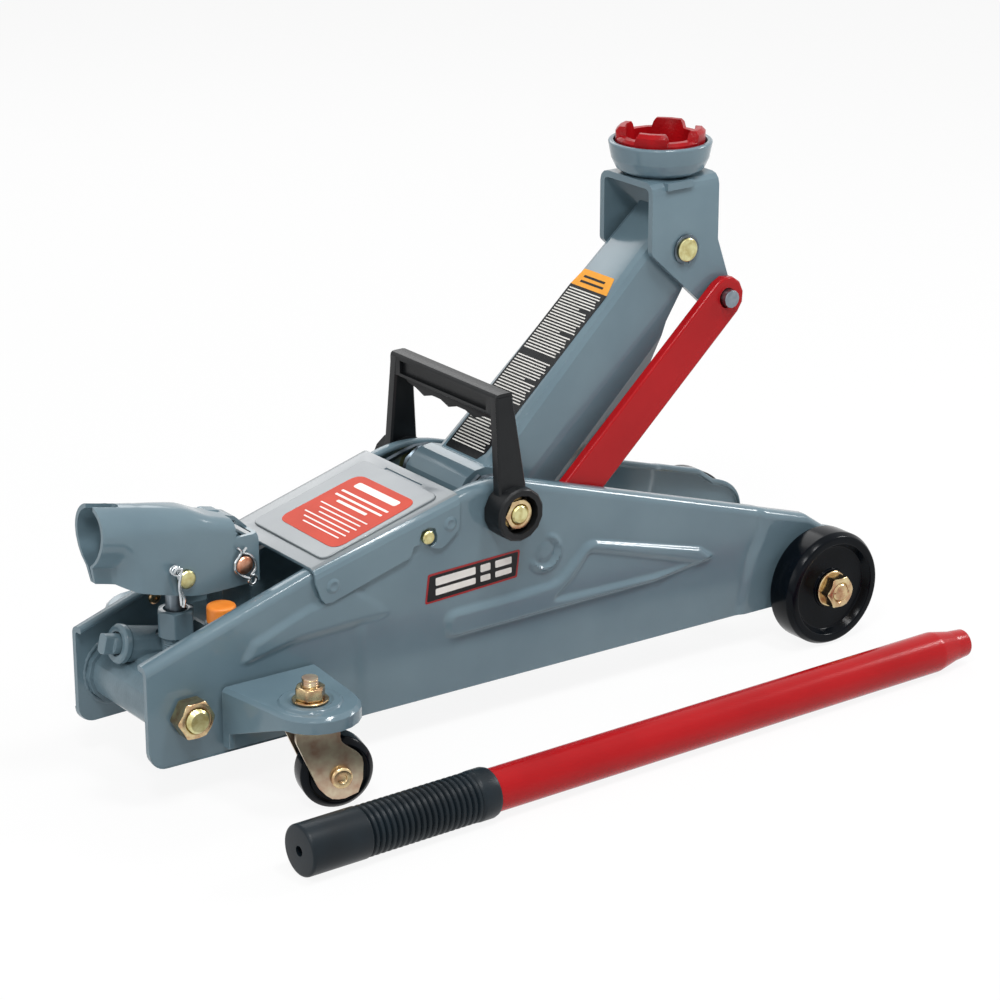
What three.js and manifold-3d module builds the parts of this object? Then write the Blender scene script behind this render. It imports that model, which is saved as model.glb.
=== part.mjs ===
// Compact hydraulic trolley jack with its loose pump handle, as an assembly of separate pieces.
// Millimetres. +X runs from the pump socket to the front wheels, +Y to the left, +Z up, floor at Z = 0.
// Every piece is first placed from the rear edge of the side plates (X = 0) and the mid-plane (Y = 0).

import * as THREE from 'three';
import { mergeVertices } from 'three/addons/utils/BufferGeometryUtils.js';
import Module from 'manifold-3d';

const wasm = await Module();
wasm.setup();

// ---------------------------------------------------------------- driving dimensions

const SEAT_GAP = 0.3;          // between faces that rest on each other
const TURN_GAP = 0.5;          // round a pin or shaft that turns
const SIDES = { right: -1, left: 1 };

// side plates: pressed, wider apart at the front wheels than at the rear
const PLATE_LENGTH = 436.5;
const PLATE_THICKNESS = 3;
const PLATE_BOTTOM = 20;
const PLATE_REAR_HALF_WIDTH = 37.15;
const PLATE_TAPER = 1.62 * Math.PI / 180;
const PLATE_BEND = 5.5;
const FLANGE_WIDTH = 8.2;
const PLATE_REAR_TOP = 73;
const KNEE = { x: 95, z: 102.8 };
const CROWN_START = { x: 182, z: 125.6 };
const CROWN = { x: 200, z: 130.4 };
const CROWN_END = { x: 222, z: 123.6 };
const FLANGE_END = { x: 403, z: 68.1 };
const NOSE_TOP = { x: 416, z: 59 };
const PLATE_CORNER = 9;
const RIB_HEIGHT = 1.8;
const RIB_SKIN = 0.4;
const RIB_SLOPE = 2.2;
const LINK_BOSS_RADIUS = 10.5;

// outlines of the rib and of the hollow in it, from the link pivot, with corner radii
const RIB_OUTLINE = [
  [-61.5, -33.1, 5.5], [96, -34.1, 6], [108, -25.4, 7], [99, -18.4, 6], [27, 1.1, 9], [-18, -18.4, 22],
  [-61.5, -21.2, 5.5],
];
const RIB_HOLLOW = [[2, -25.1, 4], [88, -26.1, 3], [29, -8.5, 7]];

// fixed axes across the chassis
const SHAFT = { x: 205.2, z: 112.8 };
const REAR_BOLT = { x: 21.1, z: 45.1 };
const FRONT_AXLE = { x: 404.25, z: 31.5 };
const LINK_PIVOT = { x: 229.6, z: 83.9 };
const COVER_ROD = { x: 158, z: 107.3 };

const SHAFT_RADIUS = 8;
const SHAFT_THREAD_RADIUS = 4.8;
const REAR_BOLT_RADIUS = 6;
const AXLE_RADIUS = 5;
const COVER_ROD_RADIUS = 3.5;

// lift arm: a tapered channel on a sleeve, with a slotted crank for the ram
const ARM_LENGTH = 169.9;
const ARM_ANGLE = 39.65 * Math.PI / 180;
const ARM_SHEET = 3.5;
const ARM_BASE_HALF_WIDTH = 23.05;
const ARM_NOSE_HALF_WIDTH = 16.15;
const ARM_BASE_TOP = 8.4;
const ARM_NOSE_TOP = 16.2;
const ARM_BEND = 4.5;
const ARM_BASE_DEPTH = 49;
const ARM_NOSE_DEPTH = 38;
const ARM_FOLD_DEPTH = 18;
const ARM_LIP_INSET = 5;
const SLEEVE_RADIUS = 16;
const SLEEVE_HALF_LENGTH = 23.8;
const CRANK_PLATE = 5;
const CRANK_HALF_WIDTH = 12;
const RAM_PITCH = 7 * Math.PI / 180;
const CRANK_LEAD = 18 * Math.PI / 180;
const CRANK_SWING = 36 * Math.PI / 180;

const SPRING_WIRE = 1.4;
const SPRING_COIL = 13;
const SPRING_TURNS = 2;

// saddle bracket, carried on the arm's top pin and kept level by two links
const SADDLE_PIN_RADIUS = 6.2;
const BRACKET_SHEET = 3.5;
const BRACKET_HALF_WIDTH = 22;
const BRACKET_REAR = 22;
const BRACKET_FRONT = 22;
const BRACKET_RISE = 37.5;
const BRACKET_BEND = 6;
const BRACKET_LOBE = 10.5;
const LINK_PIN_OFFSET = { x: LINK_PIVOT.x - SHAFT.x, z: LINK_PIVOT.z - SHAFT.z };
const LINK_PIN_RADIUS = 4.8;
const LINK_HALF_WIDTH = 11.4;
const LINK_THICKNESS = 5.8;
const LINK_TOP_INSET = 25.5;
const LINK_BASE_INSET = 34.2;

// saddle
const CUP_BASE_RADIUS = 20;
const CUP_RIM_RADIUS = 27.2;
const CUP_HEIGHT = 16.5;
const CUP_WALL = 2.8;
const CUP_FLOOR = 4;
const CUP_STEM_RADIUS = 8;
const CUP_STEM_LENGTH = 8;
const PAD_RADIUS = 23.4;
const PAD_RING_WALL = 5;
const PAD_FLOOR = 4;
const PAD_RING_HEIGHT = 14.4;
const PAD_LUG_HEIGHT = 18.8;
const PAD_LUG_WIDTH = 18.5;
const PAD_LUG_TOP_WIDTH = 14;
const PAD_LUG_ANGLE = -142 * Math.PI / 180;

// front wheels
const WHEEL_RADIUS = FRONT_AXLE.z;
const WHEEL_WIDTH = 20.2;
const WHEEL_INNER_Y = 51.25;
const WHEEL_EDGE = 4;
const WHEEL_RIM = 5;
const WHEEL_DISH = 4.5;
const WHEEL_HUB_RADIUS = 11;

// rear casters
const CASTER = { x: 65.2, y: 77.45 };
const CASTER_TRAIL = 11;
const CASTER_SWIVEL = 15 * Math.PI / 180;
const CASTER_WHEEL_RADIUS = 18.5;
const CASTER_WHEEL_WIDTH = 16;
const CASTER_AXLE_RADIUS = 3;
const FORK_SHEET = 2.5;
const FORK_TOP = 48.5;
const FORK_BOSS = 11.5;
const STUD_RADIUS = 4;
const CASTER_BRACKET_TOP = 55;
const CASTER_BRACKET_SHEET = 3;
const CASTER_BRACKET_SKIRT = 8;
const CASTER_BRACKET_LOBE = 21.5;
const CASTER_BRACKET_REAR = 39;
const CASTER_BRACKET_FRONT = 94;
const CASTER_BRACKET_FOOT = 24;

// cover plate over the power unit
const COVER_SHEET = 1.6;
const COVER_REAR = 92.5;
const COVER_FRONT = 177;
const COVER_BEND = 5;
const COVER_SKIRT = 19;

// power unit: cross tube, pump block, reservoir and ram
const CROSS_TUBE_RADIUS = 14.5;
const CROSS_TUBE_HALF_LENGTH = 33.2;
const COLLAR_RADIUS = 16.5;
const BLOCK_HALF_WIDTH = 23;
const BLOCK_FRONT = 76;
const BLOCK_TOP = 74;
const BLOCK_STEP_TOP = 62;
const RESERVOIR_RADIUS = 24;
const RESERVOIR_END = 128;
const RAM_RADIUS = 9;
const RAM_EYE_HALF_WIDTH = 8.5;
const RAM_EYE_RADIUS = 12;
const RAM_PIN_RADIUS = 6;
const PUMP = { x: 38, y: 0 };
const PUMP_PIN = { x: 36.4, z: 104 };
const YOKE_PIN = { x: 68.7, z: 104.1 };
const PUMP_BOSS_RADIUS = 7.2;
const GLAND_ACROSS_FLATS = 17;
const GLAND_BASE = 70;
const GLAND_HEIGHT = 14;
const PLUNGER_RADIUS = 5;
const PUMP_BORE_FLOOR = 50;
const YOKE_HALF_WIDTH = 7.5;
const SOCKET_PIN_RADIUS = 4.6;
const PLUG = { x: 53.8, y: -16.75, radius: 7.3, height: 8.4, seat: 5 };
const VALVE = { x: 12, y: 12.25, z: 67.6, pitch: 13.5 * Math.PI / 180 };
const VALVE_RADIUS = 5.3;
const VALVE_BOSS_RADIUS = 9.3;
const VALVE_DEPTH = 20;

// handle socket
const SOCKET_SHEET = 2.2;
const SOCKET_HALF_WIDTH = 13.6;
const SOCKET_REAR = -7.5;
const SOCKET_FRONT = 78;

// wire clips on the near ends of the two socket pins, from the pin's centre
const PUMP_CLIP = [
  [-5.2, -13], [-5.6, -6], [-7, 0.5], [-8.8, 5], [-7, 8.6], [-4.2, 7.5],
  [-5.6, 4.4], [-5.9, 0], [-4.4, -5.2], [-1.9, -9.5], [-3, -13.6],
];
const YOKE_CLIP = [
  [-4.2, 9.9], [-2.8, 6.6], [-5.4, 2.2], [-5.2, -2.4], [-1.4, -6.4], [2.2, -10.2],
  [6.2, -8.6], [6.1, -3.4], [5.3, 1.8], [2.9, 5], [-0.8, 6.2], [1.4, 8.6],
];

// carry handle, turning on the ends of the lift-arm shaft
const GRIP_RISE = 61.6;
const GRIP_HALF_SPAN = 46.8;
const GRIP_REAR = 8.2;
const GRIP_FRONT = 2;
const GRIP_BAR_HEIGHT = 12;
const GRIP_LEG = 6.5;
const HANDLE_BOSS_RADIUS = 14;
const HANDLE_BOSS_INNER = 44.05;
const HANDLE_BOSS_OUTER = 56.95;

// loose pump handle on the floor beside the jack
const BAR_RADIUS = 10.85;
const BAR_WALL = 1.6;
const BAR_TIP_RADIUS = 7.4;
const BAR_TIP_LENGTH = 22;
const GRIP_RADIUS = 12.75;
const GRIP_LENGTH = 108;
const GRIP_END_WALL = 4;
const BAR_START = { x: 18.9, y: -137.95 };
const BAR_END = { x: 443.5, y: -130.05 };

// ---------------------------------------------------------------- materials

function paint(color, roughness, metalness) {
  return new THREE.MeshStandardMaterial({ color, roughness, metalness });
}

const GREY_PAINT = paint(0x6f8088, 0.35, 0.1);
const RED_PAINT = paint(0xc21f27, 0.3, 0.0);
const RED_CASTING = paint(0xc3202a, 0.35, 0.0);
const YELLOW_ZINC = paint(0xb79a5a, 0.35, 0.9);
const BRIGHT_STEEL = paint(0xb8bcc0, 0.3, 0.9);
const DARK_STEEL = paint(0x3c4247, 0.4, 0.8);
const SPRING_STEEL = paint(0x50575c, 0.35, 0.8);
const BLACK_NYLON = paint(0x17191b, 0.5, 0.0);
const BLACK_RUBBER = paint(0x141617, 0.7, 0.0);
const ORANGE_PLUG = paint(0xf07c26, 0.45, 0.0);

// ---------------------------------------------------------------- geometry helpers

// drops faces that have lost a corner and turns the faces outward
function tidy(geometry) {
  const bare = new THREE.BufferGeometry();
  bare.setAttribute('position', geometry.getAttribute('position').clone());
  if (geometry.index) bare.setIndex(geometry.index.clone());
  const merged = mergeVertices(bare, 1e-4);
  const place = merged.getAttribute('position');
  const corner = (i) => new THREE.Vector3().fromBufferAttribute(place, i);
  const faces = [];
  let volume = 0;
  for (let i = 0; i < merged.index.count; i += 3) {
    const [a, b, c] = [0, 1, 2].map((k) => merged.index.getX(i + k));
    if (a === b || b === c || c === a) continue;
    faces.push([a, b, c]);
    volume += corner(a).dot(corner(b).cross(corner(c)));
  }
  merged.setIndex(faces.flatMap(([a, b, c]) => (volume < 0 ? [a, c, b] : [a, b, c])));
  return merged;
}

function solid(geometry) {
  const closed = tidy(geometry);
  const vertProperties = new Float32Array(closed.getAttribute('position').array);
  const triVerts = new Uint32Array(closed.index.array);
  return new wasm.Manifold(new wasm.Mesh({ numProp: 3, vertProperties, triVerts }));
}

function geometryOf(body) {
  const { vertProperties, triVerts } = body.getMesh();
  const geometry = new THREE.BufferGeometry();
  geometry.setAttribute('position', new THREE.BufferAttribute(vertProperties, 3));
  geometry.setIndex(new THREE.BufferAttribute(triVerts, 1));
  geometry.computeVertexNormals();
  return geometry;
}

// first geometry, plus the list to add, minus the list to cut
function shaped(base, { add = [], cut = [], keep = [] } = {}) {
  let body = solid(base);
  for (const extra of add) body = body.add(solid(extra));
  for (const limit of keep) body = body.intersect(solid(limit));
  for (const tool of cut) body = body.subtract(solid(tool));
  return geometryOf(body);
}

function piece(name, geometry, material) {
  const mesh = new THREE.Mesh(geometry, material);
  mesh.name = name;
  return mesh;
}

const point = (x, y) => new THREE.Vector2(x, y);

function outline(points) {
  return new THREE.Shape(points.map(([x, y]) => point(x, y)));
}

// closed outline with every corner rounded by its own radius: [x, y, radius]
function roundedOutline(corners) {
  const shape = new THREE.Shape();
  corners.forEach(([x, y, radius = 0], i) => {
    const here = point(x, y);
    const [bx, by] = corners[(i + corners.length - 1) % corners.length];
    const [nx, ny] = corners[(i + 1) % corners.length];
    const back = point(bx, by).sub(here);
    const next = point(nx, ny).sub(here);
    const half = Math.acos(back.dot(next) / back.length() / next.length()) / 2;
    const run = radius / Math.tan(half);
    const enter = here.clone().add(back.setLength(run));
    const leave = here.clone().add(next.setLength(run));
    if (i === 0) shape.moveTo(enter.x, enter.y);
    else shape.lineTo(enter.x, enter.y);
    if (radius > 0) shape.quadraticCurveTo(x, y, leave.x, leave.y);
  });
  shape.closePath();
  return shape;
}

function box(x0, x1, y0, y1, z0, z1) {
  const geometry = new THREE.BoxGeometry(x1 - x0, y1 - y0, z1 - z0);
  return geometry.translate((x0 + x1) / 2, (y0 + y1) / 2, (z0 + z1) / 2);
}

// an outline in X and Z, given its thickness along Y
function slabY(shape, y0, y1, curveSegments = 3) {
  const depth = y1 - y0;
  const geometry = new THREE.ExtrudeGeometry(shape, { depth, bevelEnabled: false, curveSegments });
  return geometry.rotateX(Math.PI / 2).translate(0, y1, 0);
}

// an outline in X and Y, given its thickness along Z
function slabZ(shape, z0, z1, curveSegments = 3) {
  const depth = z1 - z0;
  const geometry = new THREE.ExtrudeGeometry(shape, { depth, bevelEnabled: false, curveSegments });
  return geometry.translate(0, 0, z0);
}

function cylinderY(x, z, radius, y0, y1, sides = 16) {
  const geometry = new THREE.CylinderGeometry(radius, radius, Math.abs(y1 - y0), sides);
  return geometry.translate(x, (y0 + y1) / 2, z);
}

function cylinderX(y, z, radius, x0, x1, sides = 16) {
  const geometry = new THREE.CylinderGeometry(radius, radius, x1 - x0, sides);
  return geometry.rotateZ(-Math.PI / 2).translate((x0 + x1) / 2, y, z);
}

function cylinderZ(x, y, radius, z0, z1, sides = 16) {
  const geometry = new THREE.CylinderGeometry(radius, radius, z1 - z0, sides);
  return geometry.rotateX(Math.PI / 2).translate(x, y, (z0 + z1) / 2);
}

// revolves [radius, height] points about the Y axis
function turned(profile, sides = 18) {
  return new THREE.LatheGeometry(profile.map(([r, h]) => point(r, h)), sides);
}

const ring = (inner, outer, low, high, sides) => turned(
  [[inner, low], [outer, low], [outer, high], [inner, high], [inner, low]],
  sides,
);

// hexagon nut on the Y axis, chamfered on its outer face, standing on height 0
function nutGeometry(acrossFlats, height, boreRadius) {
  const corner = acrossFlats / Math.sqrt(3);
  const chamfer = corner - acrossFlats / 2;
  const hexagon = new THREE.CylinderGeometry(corner, corner, height, 6).translate(0, height / 2, 0);
  const crown = turned([
    [0, 0],
    [corner + 0.1, 0],
    [corner + 0.1, height - chamfer * 0.6],
    [corner - chamfer, height],
    [0, height],
  ], 12);
  const bore = cylinderY(0, 0, boreRadius, -1, height + 1, 12);
  return shaped(hexagon, { keep: [crown], cut: [bore] });
}

// skins a row of equal closed loops of 2-D points; place(point, i) puts loop i in space
function loft(loops, place) {
  const ordered = THREE.ShapeUtils.isClockWise(loops[0]) ? loops.map((loop) => [...loop].reverse()) : loops;
  const count = ordered[0].length;
  const position = ordered.flatMap((loop, i) => loop.flatMap((p) => place(p, i).toArray()));
  const index = [];
  for (let i = 0; i + 1 < ordered.length; i += 1) {
    for (let j = 0; j < count; j += 1) {
      const a = i * count + j;
      const b = i * count + (j + 1) % count;
      index.push(a, b, b + count, a, b + count, a + count);
    }
  }
  const last = (ordered.length - 1) * count;
  for (const [a, b, c] of THREE.ShapeUtils.triangulateShape(ordered[0], [])) index.push(a, c, b);
  for (const [a, b, c] of THREE.ShapeUtils.triangulateShape(ordered.at(-1), [])) {
    index.push(last + a, last + b, last + c);
  }
  const geometry = new THREE.BufferGeometry();
  geometry.setAttribute('position', new THREE.Float32BufferAttribute(position, 3));
  geometry.setIndex(index);
  return geometry;
}

// moves an open 2-D line sideways, to the left of its direction for a positive distance
function offsetLine(points, distance) {
  return points.map((p, i) => {
    const before = points[Math.max(i - 1, 0)];
    const after = points[Math.min(i + 1, points.length - 1)];
    const along = after.clone().sub(before).normalize();
    return point(p.x - along.y * distance, p.y + along.x * distance);
  });
}

function arcPoints(cx, cy, radius, from, to, steps) {
  return Array.from({ length: steps + 1 }, (_, i) => {
    const angle = from + (to - from) * i / steps;
    return point(cx + radius * Math.cos(angle), cy + radius * Math.sin(angle));
  });
}

// round wire along a curve
function wire(curve, radius, steps, sides = 6) {
  const section = new THREE.Shape().absarc(0, 0, radius, 0, 2 * Math.PI);
  const options = { steps, extrudePath: curve, curveSegments: sides / 2, bevelEnabled: false };
  return new THREE.ExtrudeGeometry(section, options);
}

const mix = (a, b, t) => a + (b - a) * t;

// ---------------------------------------------------------------- places that several pieces share

const plateHalfWidth = (x) => PLATE_REAR_HALF_WIDTH + x * Math.tan(PLATE_TAPER);
const plateInner = (x) => plateHalfWidth(x) - PLATE_THICKNESS / Math.cos(PLATE_TAPER);

function plateTopLine() {
  const line = new THREE.Path();
  line.moveTo(0, PLATE_REAR_TOP);
  line.lineTo(KNEE.x, KNEE.z);
  line.lineTo(CROWN_START.x, CROWN_START.z);
  line.quadraticCurveTo(CROWN.x, CROWN.z, CROWN_END.x, CROWN_END.z);
  line.lineTo(FLANGE_END.x, FLANGE_END.z);
  return line.getPoints(4);
}

function plateTopZ(x) {
  const points = plateTopLine();
  const i = points.findIndex((p) => p.x >= x);
  const [a, b] = [points[Math.max(i - 1, 0)], points[i]];
  return a === b ? a.y : mix(a.y, b.y, (x - a.x) / (b.x - a.x));
}

// places a group so that its local Y = 0 plane is the outer face of a side plate and +Y points outward
function besidePlate(side) {
  const group = new THREE.Group();
  group.position.y = SIDES[side] * PLATE_REAR_HALF_WIDTH;
  group.rotation.z = SIDES[side] * PLATE_TAPER;
  return group;
}

const outward = (geometry, side) => geometry.scale(1, SIDES[side], 1);

const ARM_TIP = {
  x: SHAFT.x + ARM_LENGTH * Math.cos(ARM_ANGLE),
  z: SHAFT.z + ARM_LENGTH * Math.sin(ARM_ANGLE),
};
const LINK_PIN = { x: ARM_TIP.x + LINK_PIN_OFFSET.x, z: ARM_TIP.z + LINK_PIN_OFFSET.z };

// the ram's line passes under the shaft; the crank pin runs along it
const RAM_REACH = (() => {
  const dx = SHAFT.x - REAR_BOLT.x;
  const dz = SHAFT.z - REAR_BOLT.z;
  const below = dz * Math.cos(RAM_PITCH) - dx * Math.sin(RAM_PITCH);
  const foot = dx * Math.cos(RAM_PITCH) + dz * Math.sin(RAM_PITCH);
  return { below, foot, rest: foot + below * Math.tan(CRANK_LEAD) };
})();

// ---------------------------------------------------------------- side plates

function plateWeb(side) {
  const top = offsetLine(plateTopLine(), -PLATE_BEND);
  const shape = new THREE.Shape();
  const frontCorner = PLATE_LENGTH - PLATE_CORNER;
  shape.moveTo(PLATE_CORNER, PLATE_BOTTOM);
  shape.lineTo(frontCorner, PLATE_BOTTOM);
  shape.absarc(frontCorner, PLATE_BOTTOM + PLATE_CORNER, PLATE_CORNER, -Math.PI / 2, 0);
  shape.lineTo(PLATE_LENGTH, PLATE_BOTTOM + 2 * PLATE_CORNER);
  shape.quadraticCurveTo(PLATE_LENGTH, NOSE_TOP.z - PLATE_BEND, NOSE_TOP.x, NOSE_TOP.z);
  for (const p of [...top].reverse()) shape.lineTo(p.x, p.y);
  shape.lineTo(0, PLATE_BOTTOM + PLATE_CORNER);
  shape.absarc(PLATE_CORNER, PLATE_BOTTOM + PLATE_CORNER, PLATE_CORNER, Math.PI, 1.5 * Math.PI);
  return outward(slabY(shape, -PLATE_THICKNESS, 0, 3), side);
}

// the rolled top edge, swept along the plate's top line
function plateFlange(side) {
  const line = plateTopLine();
  const inner = PLATE_BEND - PLATE_THICKNESS;
  const overlap = 1;
  const section = [
    point(0, -PLATE_BEND - overlap),
    ...arcPoints(-PLATE_BEND, -PLATE_BEND, PLATE_BEND, 0, Math.PI / 2, 3),
    point(-FLANGE_WIDTH, 0),
    point(-FLANGE_WIDTH, -PLATE_THICKNESS),
    ...arcPoints(-PLATE_BEND, -PLATE_BEND, inner, Math.PI / 2, 0, 2),
    point(-PLATE_THICKNESS, -PLATE_BEND - overlap),
  ];
  const normals = offsetLine(line, 1).map((p, i) => p.sub(line[i]));
  const place = (p, i) => new THREE.Vector3(
    line[i].x + normals[i].x * p.y,
    p.x,
    line[i].y + normals[i].y * p.y,
  );
  return outward(loft(line.map(() => section), place), side);
}

// pressed rib that swells from a rounded slot into a triangle in front of the link pivot
function plateRib(side) {
  const moved = ([x, z, radius]) => [LINK_PIVOT.x + x, LINK_PIVOT.z + z, radius];
  const fromPivot = (outline) => roundedOutline(outline.map(moved));
  const swell = fromPivot(RIB_OUTLINE);
  swell.holes.push(fromPivot(RIB_HOLLOW));
  const options = {
    depth: RIB_SKIN,
    bevelEnabled: true,
    bevelThickness: RIB_HEIGHT - RIB_SKIN,
    bevelSize: RIB_SLOPE,
    bevelOffset: -RIB_SLOPE,
    bevelSegments: 1,
    curveSegments: 2,
  };
  const raised = new THREE.ExtrudeGeometry(swell, options).rotateX(Math.PI / 2);
  return outward(raised.translate(0, RIB_SKIN, 0), side);
}

// round boss pressed out round the link pivot
function linkBoss(side) {
  const boss = turned([
    [0, -1], [LINK_BOSS_RADIUS, -1], [LINK_BOSS_RADIUS - RIB_SLOPE, RIB_HEIGHT], [0, RIB_HEIGHT],
  ], 12);
  return outward(boss.translate(LINK_PIVOT.x, 0, LINK_PIVOT.z), side);
}

function sidePlate(side) {
  const group = besidePlate(side);
  const hole = (axis, radius) => cylinderY(axis.x, axis.z, radius, -20, 20, 12);
  const geometry = shaped(plateWeb(side), {
    add: [plateFlange(side), plateRib(side), linkBoss(side)],
    cut: [
      hole(SHAFT, SHAFT_RADIUS + TURN_GAP),
      hole(REAR_BOLT, REAR_BOLT_RADIUS + SEAT_GAP),
      hole(FRONT_AXLE, AXLE_RADIUS + SEAT_GAP),
      hole(COVER_ROD, COVER_ROD_RADIUS + SEAT_GAP),
    ],
  });
  group.add(piece(`side_plate_${side}`, geometry, GREY_PAINT));
  return group;
}

// ---------------------------------------------------------------- cover plate

function coverLoop(x) {
  const half = plateHalfWidth(x) + SEAT_GAP + COVER_SHEET;
  const top = plateTopZ(x) + SEAT_GAP + COVER_SHEET;
  const inner = COVER_BEND - COVER_SHEET;
  const bend = half - COVER_BEND;
  const skirt = top - COVER_SKIRT - COVER_BEND;
  const right = [
    point(half, skirt),
    ...arcPoints(bend, top - COVER_BEND, COVER_BEND, 0, Math.PI / 2, 3),
  ];
  const under = [
    ...arcPoints(bend, top - COVER_BEND, inner, Math.PI / 2, 0, 2),
    point(half - COVER_SHEET, skirt),
  ];
  const mirrored = (points) => points.map((p) => point(-p.x, p.y)).reverse();
  return [...right, ...mirrored(right), ...mirrored(under), ...under];
}

function coverSkirtOutline() {
  const rise = (plateTopZ(COVER_FRONT) - plateTopZ(COVER_REAR)) / (COVER_FRONT - COVER_REAR);
  const lowAt = (x) => plateTopZ(COVER_REAR) - COVER_SKIRT + (x - COVER_REAR) * rise;
  const slot = COVER_ROD_RADIUS + 1.5;
  return roundedOutline([
    [COVER_REAR, lowAt(COVER_REAR) + COVER_SKIRT + 20, 0],
    [COVER_REAR, lowAt(COVER_REAR) + COVER_SKIRT - COVER_BEND, 0],
    [COVER_REAR + 4.5, lowAt(COVER_REAR) + 1, 5],
    [COVER_ROD.x - slot - 5.5, lowAt(COVER_ROD.x) - 1.5, 1],
    [COVER_ROD.x - slot - 3.5, lowAt(COVER_ROD.x) + 4, 1],
    [COVER_ROD.x - slot, COVER_ROD.z - 3, 1],
    [COVER_ROD.x - slot, COVER_ROD.z + slot, 4.5],
    [COVER_ROD.x + slot, COVER_ROD.z + slot, 4.5],
    [COVER_ROD.x + slot, COVER_ROD.z - 4, 2],
    [COVER_ROD.x - 1, lowAt(COVER_ROD.x) + 2, 1],
    [COVER_ROD.x + 8, lowAt(COVER_ROD.x) - 1, 5],
    [COVER_FRONT, lowAt(COVER_FRONT) + 3, 7],
    [COVER_FRONT, lowAt(COVER_FRONT) + COVER_SKIRT + 20, 0],
  ]);
}

function coverPlate() {
  const stations = [COVER_REAR, (COVER_REAR + COVER_FRONT) / 2, COVER_FRONT];
  const shell = loft(stations.map(coverLoop), (p, i) => new THREE.Vector3(stations[i], p.x, p.y));
  const middle = (COVER_REAR + COVER_FRONT) / 2;
  const rise = Math.atan2(plateTopZ(COVER_FRONT) - plateTopZ(COVER_REAR), COVER_FRONT - COVER_REAR);
  const onTop = (geometry) => geometry
    .rotateY(-rise)
    .translate(middle, 0, plateTopZ(middle) + SEAT_GAP + COVER_SHEET);
  const panel = onTop(slabZ(roundedOutline([
    [-34, -28, 4], [34, -30, 4], [34, 30, 4], [-34, 28, 4],
  ]), -1, 0.9, 2));
  const groove = onTop(box(37, 38.5, -18, 14, -0.8, 2));
  const rodHoles = cylinderY(COVER_ROD.x, COVER_ROD.z, COVER_ROD_RADIUS + 1.5, -60, 60, 12);
  return shaped(shell, {
    add: [panel],
    keep: [slabY(coverSkirtOutline(), -60, 60, 2)],
    cut: [groove, rodHoles],
  });
}

// ---------------------------------------------------------------- shafts, bolts and nuts across the chassis

// stepped shaft on the Y axis: radius out to |y|
function steppedShaft(steps, sides = 12) {
  const half = steps.flatMap(([radius, reach], i) => [[radius, i ? steps[i - 1][1] : 0], [radius, reach]]);
  const end = steps.at(-1)[1];
  const upper = half.slice(1).concat([[0, end]]);
  const lower = upper.map(([r, y]) => [r, -y]).reverse();
  return turned([...lower, ...upper], sides);
}

function crossBolts() {
  const group = new THREE.Group();
  const outerAt = (axis) => plateHalfWidth(axis.x);
  const rearNut = 8.5;
  const axleReach = WHEEL_INNER_Y + WHEEL_WIDTH + 5.6;
  const shafts = [
    ['rear_cross_bolt', REAR_BOLT, [
      [REAR_BOLT_RADIUS, outerAt(REAR_BOLT) + SEAT_GAP + rearNut + 2.5],
    ], YELLOW_ZINC],
    ['front_axle', FRONT_AXLE, [[AXLE_RADIUS, axleReach]], BRIGHT_STEEL],
    ['lift_arm_shaft', SHAFT, [
      [SHAFT_RADIUS, HANDLE_BOSS_INNER + 6], [SHAFT_THREAD_RADIUS, HANDLE_BOSS_OUTER - 0.6],
    ], YELLOW_ZINC],
    ['cover_rod', COVER_ROD, [[COVER_ROD_RADIUS, outerAt(COVER_ROD) + 2.6]], YELLOW_ZINC],
  ];
  for (const [name, axis, steps, material] of shafts) {
    const mesh = piece(name, tidy(steppedShaft(steps)), material);
    mesh.position.set(axis.x, 0, axis.z);
    group.add(mesh);
  }
  return group;
}

function rearNut(side) {
  const group = besidePlate(side);
  const geometry = nutGeometry(18, 8.5, REAR_BOLT_RADIUS + TURN_GAP);
  const mesh = piece(`rear_nut_${side}`, tidy(outward(geometry, side)), YELLOW_ZINC);
  mesh.position.set(REAR_BOLT.x, SIDES[side] * SEAT_GAP, REAR_BOLT.z);
  group.add(mesh);
  return group;
}

function axleNut(side) {
  const washer = ring(AXLE_RADIUS + SEAT_GAP, 10, 0, 1.6, 12);
  const nut = nutGeometry(16, 7, AXLE_RADIUS + SEAT_GAP).rotateY(0.35).translate(0, 1.5, 0);
  const mesh = piece(`axle_nut_${side}`, tidy(outward(shaped(washer, { add: [nut] }), side)), YELLOW_ZINC);
  const face = WHEEL_INNER_Y + WHEEL_WIDTH - WHEEL_DISH + 1;
  mesh.position.set(FRONT_AXLE.x, SIDES[side] * (face + SEAT_GAP), FRONT_AXLE.z);
  return mesh;
}

function shaftNut(side) {
  const depth = 5.2;
  const bore = SHAFT_THREAD_RADIUS + SEAT_GAP;
  const collar = turned([[0, 0], [8.6, 0], [8.6, 2], [7.6, 2.6], [0, 2.6]], 14);
  const hexagon = new THREE.CylinderGeometry(8.6, 8.6, depth, 6).translate(0, depth / 2, 0);
  const hole = cylinderY(0, 0, bore, -1, depth + 1, 12);
  const geometry = shaped(collar, { add: [hexagon], cut: [hole] });
  const mesh = piece(`shaft_nut_${side}`, tidy(outward(geometry, side)), YELLOW_ZINC);
  mesh.position.set(SHAFT.x, SIDES[side] * (HANDLE_BOSS_INNER + 6 + SEAT_GAP), SHAFT.z);
  return mesh;
}

// ---------------------------------------------------------------- front wheels

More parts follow.
